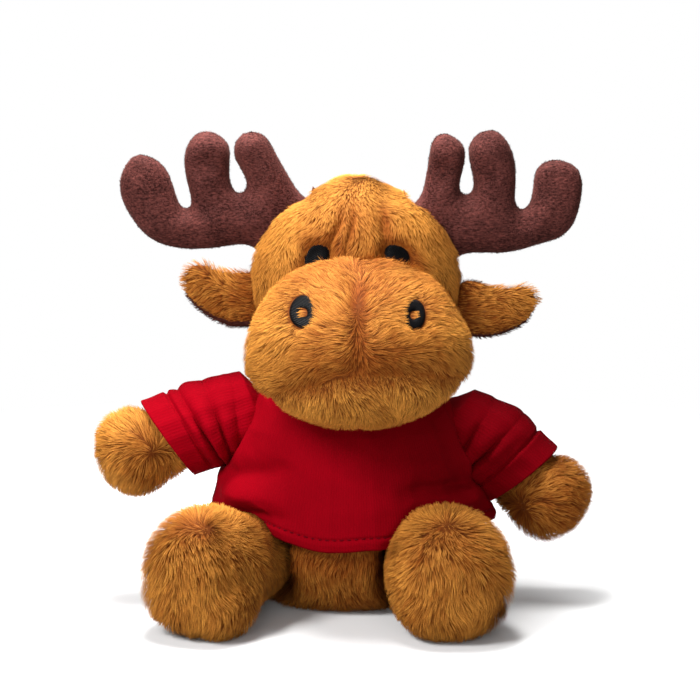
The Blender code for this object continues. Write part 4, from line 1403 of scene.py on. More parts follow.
@dataclass(frozen=True)
class Arm(Member):
    """An arm that shows as a paw beyond its sleeve.

    Attributes:
        side: the toy's side.
        whorl: where the paw's hair parts, along, beside and above the arm's line.
        shade: painted light on its pile, lighter than the rest; less than nothing is painted shade.
    """

    side: Side
    whorl: Triple
    shade: float
    INSET: ClassVar[float] = 1.5 * MM

    def build(self) -> None:
        """Adds the arm's pieces."""
        name = self.side.value
        limb = Limb("arm", "shoulder", self.side)
        nodes = [f"arm_{name}_skin", f"arm_{name}_filling"]
        surface = Surface.from_nodes(nodes, 1.5 * MM, 14)
        surface = surface.moved(np.full(len(surface.points), -self.INSET))
        self.stuffed(f"arm_{name}_plush", surface, nodes)
        start = limb.place(*self.whorl)
        slope = Shirt.cuff_slant(self.side) / Shirt.CUFF_RADIUS
        bias = tuple(limb.axis * 0.45 - [0.0, 0.0, 0.25])
        flow = Whorl(tuple(start), (0.45, 1.0, 1.0), bias)

        def past_cuff(points: Array) -> Array:
            """How far each point lies beyond the sleeve's end."""
            above = (points - limb.pivot) @ limb.upward
            return limb.along(points) - SLEEVE_CUTS[self.side].length - above * slope

        def keep(points: Array) -> Array:
            """On the paw and a little way into the sleeve."""
            return past_cuff(points) > -3.0 * MM

        def length_at(points: Array) -> Array:
            """Shorter at the cuff."""
            return 0.55 + 0.5 * step_between(-2.0 * MM, 5.0 * MM, past_cuff(points))

        def tone_at(points: Array) -> Array:
            """The side's painted light, and painted shade where the hair parts."""
            distance = np.linalg.norm(points - start, axis=1)
            return self.shade - 0.2 * bump_at(distance, 8.0 * MM)

        coat = Coat(surface, PAW_PILE, self.seed, flow, keep, length_at, tone_at)
        self.grow(f"arm_{name}_pile", coat)


@dataclass(frozen=True)
class Body(Member):
    """The body, which shows between the shirt's hem and the seat."""

    NODES: ClassVar[tuple[str, str]] = ("body_skin", "body_filling")
    INSET: ClassVar[float] = 0.8 * MM
    COVERED_INSET: ClassVar[float] = 2.2 * MM

    def build(self, legs: Sequence[Cover], hem: float) -> None:
        """Adds the body's pieces.

        Args:
            legs: the legs' surfaces.
            hem: the height of the shirt's hem.
        """
        surface = Surface.from_nodes(self.NODES, 1.8 * MM, 14)
        covered = step_between(hem + 2.0 * MM, hem + 8.0 * MM, surface.points[:, 2])
        surface = surface.moved(-self.INSET - self.COVERED_INSET * covered)
        self.stuffed("body_plush", surface, self.NODES, fill=0.85)

        def keep(points: Array) -> Array:
            """Under the hem and clear of the legs and of the floor.

            Args:
                points: places, one a row.

            Returns:
                True where the pile grows.
            """
            kept = (points[:, 2] < hem + 2.0 * MM) & (points[:, 2] > 1.5 * MM)
            kept[kept] = clear_of(points[kept], legs, COVER_MARGIN)
            return kept

        def length_at(points: Array) -> Array:
            """Shorter under the hem."""
            return 1.0 - 0.45 * step_between(hem - 5.0 * MM, hem, points[:, 2])

        def tone_at(points: Array) -> Array:
            """Painted shade: darker than the limbs, most of all under the hem."""
            return -0.3 - 0.15 * step_between(hem - 8.0 * MM, hem, points[:, 2])

        def flow(points: Array) -> Array:
            """Down and a little apart.

            Args:
                points: places, one a row.

            Returns:
                The direction at each point.
            """
            down = np.tile([0.0, 0.0, -1.0], (len(points), 1))
            down[:, 0] = 0.2 * np.tanh(points[:, 0] / (15.0 * MM))
            return down

        self.grow("body_pile", Coat(surface, LONG_PILE, self.seed, flow, keep, length_at, tone_at))


@dataclass(frozen=True)
class Oval:
    """An embroidered oval, or a ring, on a surface.

    Attributes:
        centre: its middle, seen from the front, as (x, z).
        half: half its width and half its height.
        lean: how far its top leans to +X, in degrees.
        hole: how large its open middle is, as a share of the whole.
        height: how far the stitches stand out.
    """

    centre: Pair
    half: Pair
    lean: float
    hole: float
    height: float
    COLUMNS: ClassVar[int] = 64
    # Across the stitches: how far out, and how high as a share of the height
    DISC: ClassVar[tuple[Pair, ...]] = (
        (1.0, -0.5), (1.02, 0.2), (0.95, 0.75), (0.82, 1.0), (0.66, 1.05), (0.45, 1.05),
        (0.24, 1.0), (0.02, 1.0),
    )
    RING: ClassVar[tuple[Pair, ...]] = (
        (1.0, -0.5), (0.9, 0.6), (0.4, 1.0), (-0.4, 1.0), (-0.9, 0.6), (-1.0, -0.5),
    )

    def shares(self, points: Array) -> Array:
        """How far out each point lies: less than one is inside.

        Args:
            points: places, one a row.

        Returns:
            The distances, as shares of the oval's size.
        """
        turn = math.radians(self.lean)
        x = points[:, 0] - self.centre[0]
        z = points[:, 2] - self.centre[1]
        across = x * math.cos(turn) - z * math.sin(turn)
        above = x * math.sin(turn) + z * math.cos(turn)
        return np.hypot(across / self.half[0], above / self.half[1])

    def around(self, points: Array, inner: float, outer: float) -> Array:
        """One inside the inner share, nothing past the outer one, and nothing behind."""
        return (1.0 - step_between(inner, outer, self.shares(points))) * (points[:, 1] < 0.0)

    def profile(self) -> list[Pair]:
        """How far out and how high each row of corners lies.

        Returns:
            The rows, from the outer edge inwards.
        """
        if self.hole == 0.0:
            return list(self.DISC)
        middle = (1.0 + self.hole) / 2.0
        spread = (1.0 - self.hole) / 2.0
        return [(middle + spread * out, rise) for out, rise in self.RING]

    def build(self, node: str, tree: BVHTree, material: bpy.types.Material) -> None:
        """Adds the stitched piece.

        Args:
            node: the node that it stands for.
            tree: the surface that it is stitched on.
            material: what it is made of.
        """
        turns = full_turn(self.COLUMNS)
        lean = math.radians(self.lean)
        wobble = 1.0 + 0.025 * np.sin(turns * 3.0 + self.centre[0] * 900.0)
        points = []
        for out, rise in self.profile():
            across = self.half[0] * out * wobble * np.cos(turns)
            above = self.half[1] * out * wobble * np.sin(turns)
            x = self.centre[0] + across * math.cos(lean) + above * math.sin(lean)
            z = self.centre[1] - across * math.sin(lean) + above * math.cos(lean)
            for place_x, place_z in zip(x, z):
                origin = Vector((place_x, -0.2, place_z))
                hit, normal, _, _ = tree.ray_cast(origin, Vector((0.0, 1.0, 0.0)))
                points.append(hit + normal * (self.height * rise))
        faces = grid_faces(len(self.profile()), self.COLUMNS, True)
        piece = add_piece(f"{node}_stitches", np.array(points), faces, material)
        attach(piece, "head")
        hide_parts(node)

    @staticmethod
    def build_pair(
        kind: str, ovals: dict[Side, "Oval"], surface: Surface, material: bpy.types.Material
    ) -> None:
        """Adds the same embroidery on both sides.

        Args:
            kind: what the two nodes are called without the side.
            ovals: the oval on each side.
            surface: what they are stitched on.
            material: what they are made of.
        """
        tree = surface.tree()
        for side, oval in ovals.items():
            oval.build(f"{kind}_{side.value}", tree, material)


def grid_faces(rows: int, columns: int, closed: bool) -> Array:
    """Faces between rows of corners, whose ends meet if they are closed.

    Args:
        rows: how many rows of corners there are.
        columns: how many corners a row has.
        closed: whether the ends of a row meet.

    Returns:
        The faces.
    """
    last = columns if closed else columns - 1
    row, column = np.meshgrid(np.arange(rows - 1), np.arange(last), indexing="ij")
    following = (column + 1) % columns
    corners = [row * columns + column, row * columns + following]
    corners += [(row + 1) * columns + following, (row + 1) * columns + column]
    return np.stack(corners, axis=-1).reshape(-1, 4)


@dataclass(frozen=True)
class Muzzle(Member):
    """The wide muzzle with its chin and nostrils."""

    NODES: ClassVar[tuple[str, str]] = ("muzzle_skin", "muzzle_filling")
    CHIN: ClassVar[str] = "chin_panel"
    INSET: ClassVar[float] = 1.3 * MM
    SEAM_SINK: ClassVar[float] = 2.0 * MM
    MOUTH_SINK: ClassVar[float] = 2.2 * MM
    TOP_SINK: ClassVar[float] = 0.8 * MM
    # The mouth's seam leans and arches by these times the place across
    MOUTH_LEAN: ClassVar[float] = 0.128
    MOUTH_ARCH: ClassVar[float] = 5.8

    @property
    def centre(self) -> float:
        """The muzzle's middle across the toy."""
        return box_middle("muzzle_skin")[0]

    def mouth_height(self, x: Array) -> Array:
        """The height of the mouth's seam, which droops more to the toy's right.

        Args:
            x: places across the toy.

        Returns:
            The height at each place.
        """
        across = x - self.centre
        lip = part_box(self.CHIN)[1][2]
        return lip + self.MOUTH_LEAN * across - self.MOUTH_ARCH * across ** 2

    def form(self) -> Surface:
        """The form of the muzzle and the chin, drawn in along its seams.

        Returns:
            The form's surface.
        """
        surface = Surface.from_nodes([self.NODES[0], self.CHIN, self.NODES[1]], 1.6 * MM, 14)
        x, y, z = surface.points.T
        across = x - self.centre
        above = z - self.mouth_height(x)
        front = step_between(-0.030, -0.050, y)
        seam = self.SEAM_SINK * bump_at(across, 3.0 * MM) * step_between(0.0, 4.0 * MM, above)
        ends = 1.0 - step_between(22.0 * MM, 38.0 * MM, np.abs(across))
        crease = self.MOUTH_SINK * bump_at(above, 4.0 * MM) * ends
        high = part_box("muzzle_skin")[1][2]
        upper = step_between(high - 12.0 * MM, high - 2.0 * MM, z)
        upper *= bump_at(np.abs(across) - 17.0 * MM, 9.0 * MM) * (1.0 - front)
        return surface.moved(-(seam + crease) * front - self.INSET - self.TOP_SINK * upper)

    def nostrils(self) -> dict[Side, Oval]:
        """The nostrils' ovals, which lean towards the muzzle's seam.

        Returns:
            The oval on each side.
        """
        ovals = {}
        for side, half, lift in (
            (Side.RIGHT, (5.1 * MM, 5.2 * MM), 0.4 * MM),
            (Side.LEFT, (4.4 * MM, 4.9 * MM), -0.4 * MM),
        ):
            x, _, z = box_middle(f"nostril_{side.value}")
            ovals[side] = Oval((x, z + lift), half, -side.sign * 20.0, 0.27, 0.8 * MM)
        return ovals

    def build(self, surface: Surface, covers: Sequence[Cover]) -> None:
        """Adds the muzzle's pieces.

        Args:
            surface: the form of the muzzle and the chin.
            covers: surfaces that hide it.
        """
        centre = self.centre
        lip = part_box(self.CHIN)[1][2]
        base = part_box("muzzle_skin")[0][2]
        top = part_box("muzzle_skin")[1][2]
        centres = surface.face_centres()
        is_chin = centres[:, 2] < self.mouth_height(centres[:, 0])
        self.stuffed("muzzle_plush", surface.part(~is_chin), self.NODES)
        self.stuffed("chin_plush", surface.part(is_chin), [self.CHIN])
        ovals = self.nostrils()
        Oval.build_pair("nostril", ovals, surface, self.finishes.black_thread)

        def is_above(points: Array) -> Array:
            """Above the mouth's seam."""
            return points[:, 2] > self.mouth_height(points[:, 0]) + 0.6 * MM

        def keep_muzzle(points: Array) -> Array:
            """Above the mouth, off the nostrils' stitches and clear of the covers.

            Args:
                points: places, one a row.

            Returns:
                True where the pile grows.
            """
            kept = is_above(points)
            for oval in ovals.values():
                out = oval.shares(points)
                kept &= ~((out < 1.0) & (out > oval.hole) & (points[:, 1] < -0.04))
            kept[kept] = clear_of(points[kept], covers, COVER_MARGIN)
            return kept

        def keep_chin(points: Array) -> Array:
            """Under the mouth and clear of the covers.

            Args:
                points: places, one a row.

            Returns:
                True where the pile grows.
            """
            kept = ~is_above(points)
            kept[kept] = clear_of(points[kept], covers, COVER_MARGIN)
            return kept

        def length_at(points: Array) -> Array:
            """Shorter round the nostrils, at the mouth and along the middle seam.

            Args:
                points: places, one a row.

            Returns:
                The share of the pile's length at each point.
            """
            x, y, z = points.T
            share = np.ones(len(points))
            for oval in ovals.values():
                inner = np.sign(oval.centre[0] - centre) * (oval.centre[0] - x)
                trim = np.where(inner > 0.0, 0.35, 0.6)
                share *= 1.0 - trim * (1.0 - step_between(1.0, 1.7, oval.shares(points)))
            above = z - self.mouth_height(x)
            share *= 1.0 - np.where(above < 0.0, 0.5, 0.1) * bump_at(above, 4.5 * MM)
            share *= 1.0 - 0.3 * bump_at(x - centre, 2.0 * MM)
            return share * (1.0 - 0.12 * step_between(-0.052, -0.042, y) * (above > 20.0 * MM))

        def tone_at(points: Array) -> Array:
            """Painted shade at the seam and round the mouth, and painted light at the sides.

            Args:
                points: places, one a row.

            Returns:
                How much lighter each point is.
            """
            x, _, z = points.T
            across = x - centre
            above = z - self.mouth_height(x)
            # Painted shade in the seam's groove, the mouth's crease, above the mouth and just under
            # it; painted light at the sides; lighter on the chin and darker towards the top
            seam_top = top - 8.0 * MM
            seam = bump_at(across, 1.8 * MM) * (above > 0.0)
            seam *= 1.0 - step_between(seam_top - 4.0 * MM, seam_top, z)
            crease = bump_at(above, 3.0 * MM)
            low = bump_at(above - 5.0 * MM, 9.0 * MM) * (above > 0.0) * bump_at(across, 28.0 * MM)
            high = step_between(base + 20.0 * MM, top - 4.0 * MM, z)
            side = 0.15 * step_between(0.0, -30.0 * MM, across)
            side += 0.12 * step_between(8.0 * MM, 28.0 * MM, across)
            lip_tone = 0.2 * (above < 0.0) - 0.26 * bump_at(above + 2.0 * MM, 3.0 * MM)
            return -0.5 * seam - 0.24 * crease - 0.34 * low - 0.2 * high + side + lip_tone

        def flow_muzzle(points: Array) -> Array:
            """Away from the middle seam, up at the top and down at the mouth.

            Args:
                points: places, one a row.

            Returns:
                The direction at each point.
            """
            height = (points[:, 2] - lip) / (top - lip)
            lift = np.interp(height, (0.0, 0.3, 0.55, 0.8, 1.0), (-0.95, -0.4, -0.12, 0.5, 0.9))
            side = np.tanh((points[:, 0] - centre) / (5.0 * MM))
            return np.column_stack([side, 0.35 * np.abs(side), lift])

        def flow_chin(points: Array) -> Array:
            """Down and a little apart.

            Args:
                points: places, one a row.

            Returns:
                The direction at each point.
            """
            across = (points[:, 0] - centre) / (30.0 * MM)
            ones = np.ones(len(points))
            return np.column_stack([0.35 * across, 0.1 * ones, -ones])

        for name, pile, step, flow, keep in (
            ("muzzle_pile", MUZZLE_PILE, 0, flow_muzzle, keep_muzzle),
            ("chin_pile", CHIN_PILE, 1, flow_chin, keep_chin),
        ):
            self.grow(name, Coat(surface, pile, self.seed + step, flow, keep, length_at, tone_at))


@dataclass(frozen=True)
class Head(Member):
    """The round head with its eyes."""

    NODES: ClassVar[tuple[str, str]] = ("head_skin", "head_filling")
    INSET: ClassVar[float] = 1.3 * MM
    EYE_SINK: ClassVar[float] = 2.4 * MM
    SEAM_SINK: ClassVar[float] = 0.7 * MM
    WRINKLE_SINK: ClassVar[float] = 2.3 * MM
    SHOULDER_SINK: ClassVar[float] = 1.8 * MM
    # Where each upright wrinkle of the brow lies, how far it leans and how wide it is
    WRINKLES: ClassVar[tuple[Triple, ...]] = (
        (-7.0 * MM, 0.3, 1.7 * MM), (-1.8 * MM, 0.1, 1.3 * MM), (11.5 * MM, -0.25, 2.4 * MM),
    )

    def form(self) -> Surface:
        """The head's form, drawn in round the eyes and along the crown's seam.

        Returns:
            The form's surface.
        """
        surface = Surface.from_nodes(self.NODES, 1.6 * MM, 14)
        x, y, z = surface.points.T
        low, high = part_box("head_skin")
        across = x - box_middle("head_skin")[0]
        sink = np.zeros(len(x))
        for oval in self.eyes().values():
            sink += self.EYE_SINK * oval.around(surface.points, 0.7, 2.1)
        crown = step_between(low[2] + 45.0 * MM, high[2], z) * (y < 0.01)
        sink += self.SEAM_SINK * bump_at(across, 2.5 * MM) * crown
        sink += self.WRINKLE_SINK * self.wrinkles(surface.points, high[2])
        shoulder = step_between(0.5 * MM, 16.0 * MM, np.abs(across))
        sink += self.SHOULDER_SINK * bump_at(z - high[2] + 5.0 * MM, 6.0 * MM) * shoulder
        return surface.moved(-sink - self.INSET)

    @classmethod
    def wrinkles(cls, points: Array, top: float) -> Array:
        """The share of the brow's upright wrinkles at each point.

        Args:
            points: places, one a row.
            top: the height of the head's top.

        Returns:
            One in the middle of a wrinkle, and nothing away from them.
        """
        below = points[:, 2] - top + 20.0 * MM
        level = bump_at(below, 8.5 * MM) * (points[:, 1] < 0.0)
        return level * sum(
            bump_at(points[:, 0] - place - lean * below, width)
            for place, lean, width in cls.WRINKLES
        )

    def eyes(self) -> dict[Side, Oval]:
        """The eyes' ovals, whose outer ends hang lower.

        Returns:
            The oval on each side.
        """
        ovals = {}
        for side in Side:
            low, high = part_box(f"eye_{side.value}")
            centre = ((low[0] + high[0]) / 2.0 + 0.6 * MM, high[2] - 4.6 * MM)
            ovals[side] = Oval(centre, (4.1 * MM, 5.3 * MM), -side.sign * 42.0, 0.0, 1.0 * MM)
        return ovals

    def build(self, surface: Surface, covers: Sequence[Cover]) -> None:
        """Adds the head's pieces.

        Args:
            surface: the head's form.
            covers: surfaces that hide it.
        """
        self.stuffed("head_plush", surface, self.NODES)
        ovals = self.eyes()
        Oval.build_pair("eye", ovals, surface, self.finishes.black_thread)
        middle = box_middle("head_skin")
        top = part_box("head_skin")[1][2]
        skins = [node_points(f"antler_{side.value}_skin") for side in Side]
        antlers = search_tree(np.concatenate(skins))

        def keep(points: Array) -> Array:
            """Off the eyes' stitches and clear of the covers.

            Args:
                points: places, one a row.

            Returns:
                True where the pile grows.
            """
            kept = np.ones(len(points), dtype=bool)
            for oval in ovals.values():
                kept &= ~((oval.shares(points) < 1.05) & (points[:, 1] < 0.0))
            kept[kept] = clear_of(points[kept], covers, COVER_MARGIN)
            return kept

        def length_at(points: Array) -> Array:
            """Shorter on the crown, round the eyes, in the wrinkles and at the antlers.

            Args:
                points: places, one a row.

            Returns:
                The share of the pile's length at each point.
            """
            share = 1.0 - 0.35 * step_between(top - 16.0 * MM, top - 4.0 * MM, points[:, 2])
            for oval in ovals.values():
                share *= 1.0 - 0.5 * oval.around(points, 1.0, 2.2)
            share *= 1.0 - 0.4 * self.wrinkles(points, top)
            reach = np.array([antlers.find(point)[2] for point in points])
            return share * (0.4 + 0.6 * step_between(1.5 * MM, 8.0 * MM, reach))

        def tone_at(points: Array) -> Array:
            """Lighter temples, painted light on the crown, painted shade round the eyes and wrinkles.

            Args:
                points: places, one a row.

            Returns:
                How much lighter each point is.
            """
            x, y, z = points.T
            across = x - middle[0]
            # Painted light on the crown; lighter at the temples; darker across the middle of the
            # forehead; painted shade in the eyes' hollows, the brow's wrinkles and the crown's seam
            shade = 0.3 * step_between(top - 20.0 * MM, top - 6.0 * MM, z)
            shade -= 0.12 * bump_at(z - top + 22.0 * MM, 12.0 * MM) * (np.abs(across) < 0.02)
            shade += 0.16 * step_between(14.0 * MM, 30.0 * MM, np.abs(across))
            for oval in ovals.values():
                shade -= 0.5 * oval.around(points, 1.0, 2.5)
            shade -= 0.8 * self.wrinkles(points, top)
            front = (y < 0.01) * step_between(top - 30.0 * MM, top - 12.0 * MM, z)
            return shade - 0.12 * bump_at(across, 2.0 * MM) * front

        def flow(points: Array) -> Array:
            """Away from the top of the crown and down the sides.

            Args:
                points: places, one a row.

            Returns:
                The direction at each point.
            """
            away = points[:, :2] - middle[:2]
            height = step_between(top - 22.0 * MM, top - 3.0 * MM, points[:, 2])
            spread = unit(away) * (1.2 * height)[:, None]
            side = spread[:, 0] + 0.3 * np.tanh(away[:, 0] / (9.0 * MM))
            return np.column_stack([side, spread[:, 1], -np.ones(len(points))])

        self.grow("head_pile", Coat(surface, BROW_PILE, self.seed, flow, keep, length_at, tone_at))


@dataclass(frozen=True)
class Ear(Member):
    """An ear of a plush panel and its darker lining.

    Attributes:
        side: the toy's side.
        rim: how wide the lining shows along its lower edge.
    """

    side: Side
    rim: float
    CURL: ClassVar[float] = 3.5 * MM

    def faces_front(self, surface: Surface) -> Array:
        """Which faces of the ear belong to its plush panel, seen from the front.

        Args:
            surface: the ear's surface.

        Returns:
            True for each such face.
        """
        facing = surface.normals()[surface.triangles].mean(axis=1)
        in_front = facing[:, 1] < 0.1 + 1.15 * np.minimum(0.0, facing[:, 2] + 0.1)
        centres = surface.face_centres()
        columns = (np.abs(centres[:, 0]) / (1.5 * MM)).astype(int)
        edge = np.full(columns.max() + 1, np.inf)
        np.minimum.at(edge, columns, centres[:, 2])
        return in_front & (centres[:, 2] - edge[columns] > self.rim)

    def build(self, covers: Sequence[Cover]) -> None:
        """Adds the ear's pieces.

        Args:
            covers: surfaces that hide its root.
        """
        name = self.side.value
        nodes = [f"ear_{name}_outer", f"ear_{name}_lining"]
        surface = Surface.from_nodes(nodes, 0.8 * MM, 8)
        root, tip = sorted(abs(corner[0]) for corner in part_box(nodes[0]))
        out = (np.abs(surface.points[:, 0]) - root) / (tip - root)
        surface.points[:, 1] -= self.CURL * np.sin(np.clip(out, 0.0, 1.0) * math.pi / 2.0) ** 2
        level = box_middle(nodes[0])[2]
        in_front = self.faces_front(surface)
        lining = search_tree(surface.face_centres()[~in_front])

        def keep(points: Array) -> Array:
            """Clear of the head."""
            return clear_of(points, covers, 0.3 * MM)

        def flow(points: Array) -> Array:
            """Out to the tip, and up on the upper half.

            Args:
                points: places, one a row.

            Returns:
                The direction at each point.
            """
            above = (points[:, 2] - level) / (14.0 * MM)
            side = np.full(len(points), self.side.sign)
            return np.column_stack([side, np.zeros(len(points)), np.maximum(0.55 * above, -0.15)])

        def tone_at(points: Array) -> Array:
            """Lighter along the top, darker overall, with painted shade at the root where it meets
            the head.

            Args:
                points: places, one a row.

            Returns:
                How much lighter each point is.
            """
            # Painted shade at the root, where the ear meets the head
            near_root = step_between(14.0 * MM, 2.0 * MM, np.abs(points[:, 0]) - root)
            above = step_between(-2.0 * MM, 8.0 * MM, points[:, 2] - level)
            return 0.25 * above * (1.0 - near_root) - 0.16 - 0.25 * near_root

        def length_at(points: Array) -> Array:
            """Shorter along the lower edge, where the lining shows.

            Args:
                points: places, one a row.

            Returns:
                The share of the pile's length at each point.
            """
            reach = np.array([lining.find(point)[2] for point in points])
            below = 1.0 - step_between(-1.0 * MM, 4.0 * MM, points[:, 2] - level)
            return 1.0 - 0.7 * below * (1.0 - step_between(0.5 * MM, 4.5 * MM, reach))

        for step, (panel, mask, cloth, pile, trim) in enumerate((
            ("front", in_front, self.finishes.caramel, EAR_PILE, length_at),
            ("back", ~in_front, self.finishes.dark, LINING_PILE, None),
        )):
            part = surface.part(mask)
            self.stuffed(f"ear_{name}_{panel}_plush", part, [nodes[step]], 0.3, cloth)
            coat = Coat(part, pile, self.seed + step, flow, keep, trim, tone_at)
            self.grow(f"ear_{name}_{panel}_pile", coat, cloth)


@dataclass(frozen=True)
class Antler(Member):
    """A stuffed antler of short napped cloth, seamed all round its edge.

    Attributes:
        side: the toy's side.
    """

    side: Side
    # The slit between the two inner lobes, as (x, z) on the toy's left
    SLIT: ClassVar[Pair] = (45.0 * MM, 171.0 * MM)
    SLIT_SWELL: ClassVar[float] = 1.8 * MM
    DENT: ClassVar[float] = 0.35 * MM

    def build(self) -> None:
        """Adds the antler's pieces."""
        name = self.side.value
        cloth = self.finishes.velboa
        nodes = [f"antler_{name}_skin", f"antler_{name}_filling"]
        surface = Surface.from_nodes(nodes, 1.1 * MM, 12)
        points = surface.points
        pucker = WaveNoise(self.seed + 3, 2.6 * MM).at(points)
        dents = WaveNoise(self.seed + 4, 11.0 * MM).at(points)
        seam = bump_at(points[:, 1] - box_middle(nodes[0])[1], 0.9 * MM)
        seam *= 1.0 - np.abs(surface.normals()[:, 1])
        slit = np.array([self.side.sign * self.SLIT[0], 0.0, self.SLIT[1]])
        beside = bump_at(np.linalg.norm((points - slit) * [1.0, 0.0, 1.0], axis=1), 8.0 * MM)
        swell = self.DENT * dents - self.DENT + self.SLIT_SWELL * beside
        surface = surface.moved(swell - seam * (0.75 + 0.4 * pucker) * MM)
        self.stuffed(f"antler_{name}_velboa", surface, nodes, cloth=cloth)

        def flow(points: Array) -> Array:
            """Up and out."""
            return np.tile([self.side.sign * 0.5, 0.0, 1.0], (len(points), 1))

        self.grow(f"antler_{name}_nap", Coat(surface, NAP, self.seed, flow), cloth)


@dataclass(frozen=True)
class Crease:
    """A soft fold along a line, seen from the front.

    Attributes:
        start: one end, as (x, z).
        end: the other end.
        depth: how far the cloth sinks; less than nothing is a ridge.
        width: how wide it is.
    """

    start: Pair
    end: Pair
    depth: float
    width: float

    def at(self, points: Array) -> Array:
        """How far the cloth sinks at each point.

        Args:
            points: places, one a row.

        Returns:
            The depths, in metres.
        """
        start = np.array(self.start)
        along = np.array(self.end) - start
        length = np.linalg.norm(along)
        along /= length
        offset = points[:, (0, 2)] - start
        run = offset @ along
        beside = np.abs(offset @ np.array([-along[1], along[0]]))
        ends = step_between(-0.25 * length, 0.25 * length, run)
        ends *= 1.0 - step_between(0.75 * length, 1.25 * length, run)
        return self.depth * bump_at(beside, self.width) * ends


# Folds of the shirt's front: where the arms pull it and where it slackens at the waist
FRONT_CREASES = (
    Crease((-0.050, 0.050), (-0.024, 0.056), 2.6 * MM, 3.6 * MM),
    Crease((-0.050, 0.042), (-0.022, 0.046), -1.6 * MM, 4.4 * MM),
    Crease((-0.048, 0.033), (-0.026, 0.036), 1.8 * MM, 3.0 * MM),
    Crease((0.048, 0.047), (0.020, 0.048), 2.8 * MM, 3.0 * MM),
    Crease((0.046, 0.055), (0.018, 0.058), -1.4 * MM, 3.6 * MM),
    Crease((0.047, 0.040), (0.026, 0.037), -1.4 * MM, 3.0 * MM),
    Crease((0.046, 0.034), (0.028, 0.031), 1.6 * MM, 2.6 * MM),
    Crease((-0.010, 0.040), (0.014, 0.043), -0.6 * MM, 6.0 * MM),
)
BACK_CREASES = (
    Crease((-0.045, 0.052), (-0.015, 0.056), 1.4 * MM, 3.2 * MM),
    Crease((0.045, 0.047), (0.014, 0.050), 1.4 * MM, 3.2 * MM),
    Crease((-0.030, 0.036), (0.025, 0.038), 1.0 * MM, 4.0 * MM),
)


@dataclass(frozen=True)
class Fold:
    """A fold round a sleeve.

    Attributes:
        top: how far along the arm it lies at the top.
        bottom: how far along the arm it lies underneath.
        depth_top: how deep it is at the top.
        depth_side: how deep it is at the front and the back.
        width: how wide it is.
    """

    top: float
    bottom: float
    depth_top: float
    depth_side: float
    width: float

    def at(self, place: float, turns: Array) -> tuple[Array, Array]:
        """How far the cloth stands out, and slips over the fold, round one place of the sleeve.

        Args:
            place: the place along the arm.
            turns: the directions round the arm, from its top.

        Returns:
            How far it stands out and how far it slips along the arm, in each direction.
        """
        upward = np.cos(turns)
        line = self.top + (self.bottom - self.top) * (1.0 - upward) / 2.0
        from_top = np.arccos(np.clip(upward, -1.0, 1.0))
        side = np.minimum(1.0, 1.2 * bump_at(from_top - math.radians(105.0), math.radians(42.0)))
        depth = self.depth_top * np.maximum(0.0, upward) + self.depth_side * side
        offset = (place - line) / self.width
        valley = np.exp(-1.3 * np.abs(offset))
        ridges = bump_at(offset - 2.3, 1.5) + bump_at(offset + 2.3, 1.5)
        return depth * (0.5 * ridges - valley), 0.5 * depth * bump_at(offset + 1.5, 1.4)


@dataclass(frozen=True)
class SleeveCut:
    """What differs between the two sleeves.

    Attributes:
        length: how far along the arm it ends.
        slant: how far the cuff leans, in degrees.
        folds: its folds.
        bulge: how much fuller it is at its top.
        seed: what makes its small waves repeat.
    """

    length: float
    slant: float
    folds: tuple[Fold, ...]
    bulge: float
    seed: int


SLEEVE_CUTS = {
    Side.RIGHT: SleeveCut(
        28.0 * MM,
        17.5,
        (
            Fold(15.5 * MM, 12.5 * MM, 1.0 * MM, 3.6 * MM, 1.3 * MM),
            Fold(7.0 * MM, 8.5 * MM, 0.5 * MM, 3.2 * MM, 1.5 * MM),
            Fold(-2.0 * MM, 5.0 * MM, 0.2 * MM, 1.4 * MM, 2.0 * MM),
        ),
        1.0 * MM,
        321,
    ),
    Side.LEFT: SleeveCut(
        27.8 * MM,
        15.0,
        (
            Fold(12.0 * MM, 9.0 * MM, 0.3 * MM, 3.4 * MM, 1.4 * MM),
            Fold(2.0 * MM, 4.5 * MM, 0.2 * MM, 2.6 * MM, 1.6 * MM),
        ),
        3.0 * MM,
        331,
    ),
}


def map_grid(piece: bpy.types.Object, places: Array) -> None:
    """Maps a cloth by the row and the column of its corners.

    Args:
        piece: the cloth.
        places: each corner's place across and along the cloth, from 0 to 1.
    """
    corners = np.empty(len(piece.data.loops), dtype=np.int32)
    piece.data.loops.foreach_get("vertex_index", corners)
    maps = places[corners].reshape(-1, 4, 2)
    across = maps[:, :, 0]
    wraps = (across.max(axis=1) - across.min(axis=1)) > 0.5
    maps[:, :, 0] = np.where(wraps[:, None] & (across < 0.5), 1.0, across)
    lay_map(piece.data, inside_map(maps))


def grid_places(rows: int, columns: int, closed: bool) -> Array:
    """Each corner's place across and along a grid, from 0 to 1.

    Args:
        rows: how many rows of corners there are.
        columns: how many corners a row has.
        closed: whether the ends of a row meet.

    Returns:
        The places, row by row.
    """
    across = np.arange(columns) / (columns if closed else columns - 1)
    along = np.arange(rows) / (rows - 1)
    grid = np.meshgrid(across, along)
    return np.column_stack([grid[0].ravel(), grid[1].ravel()])


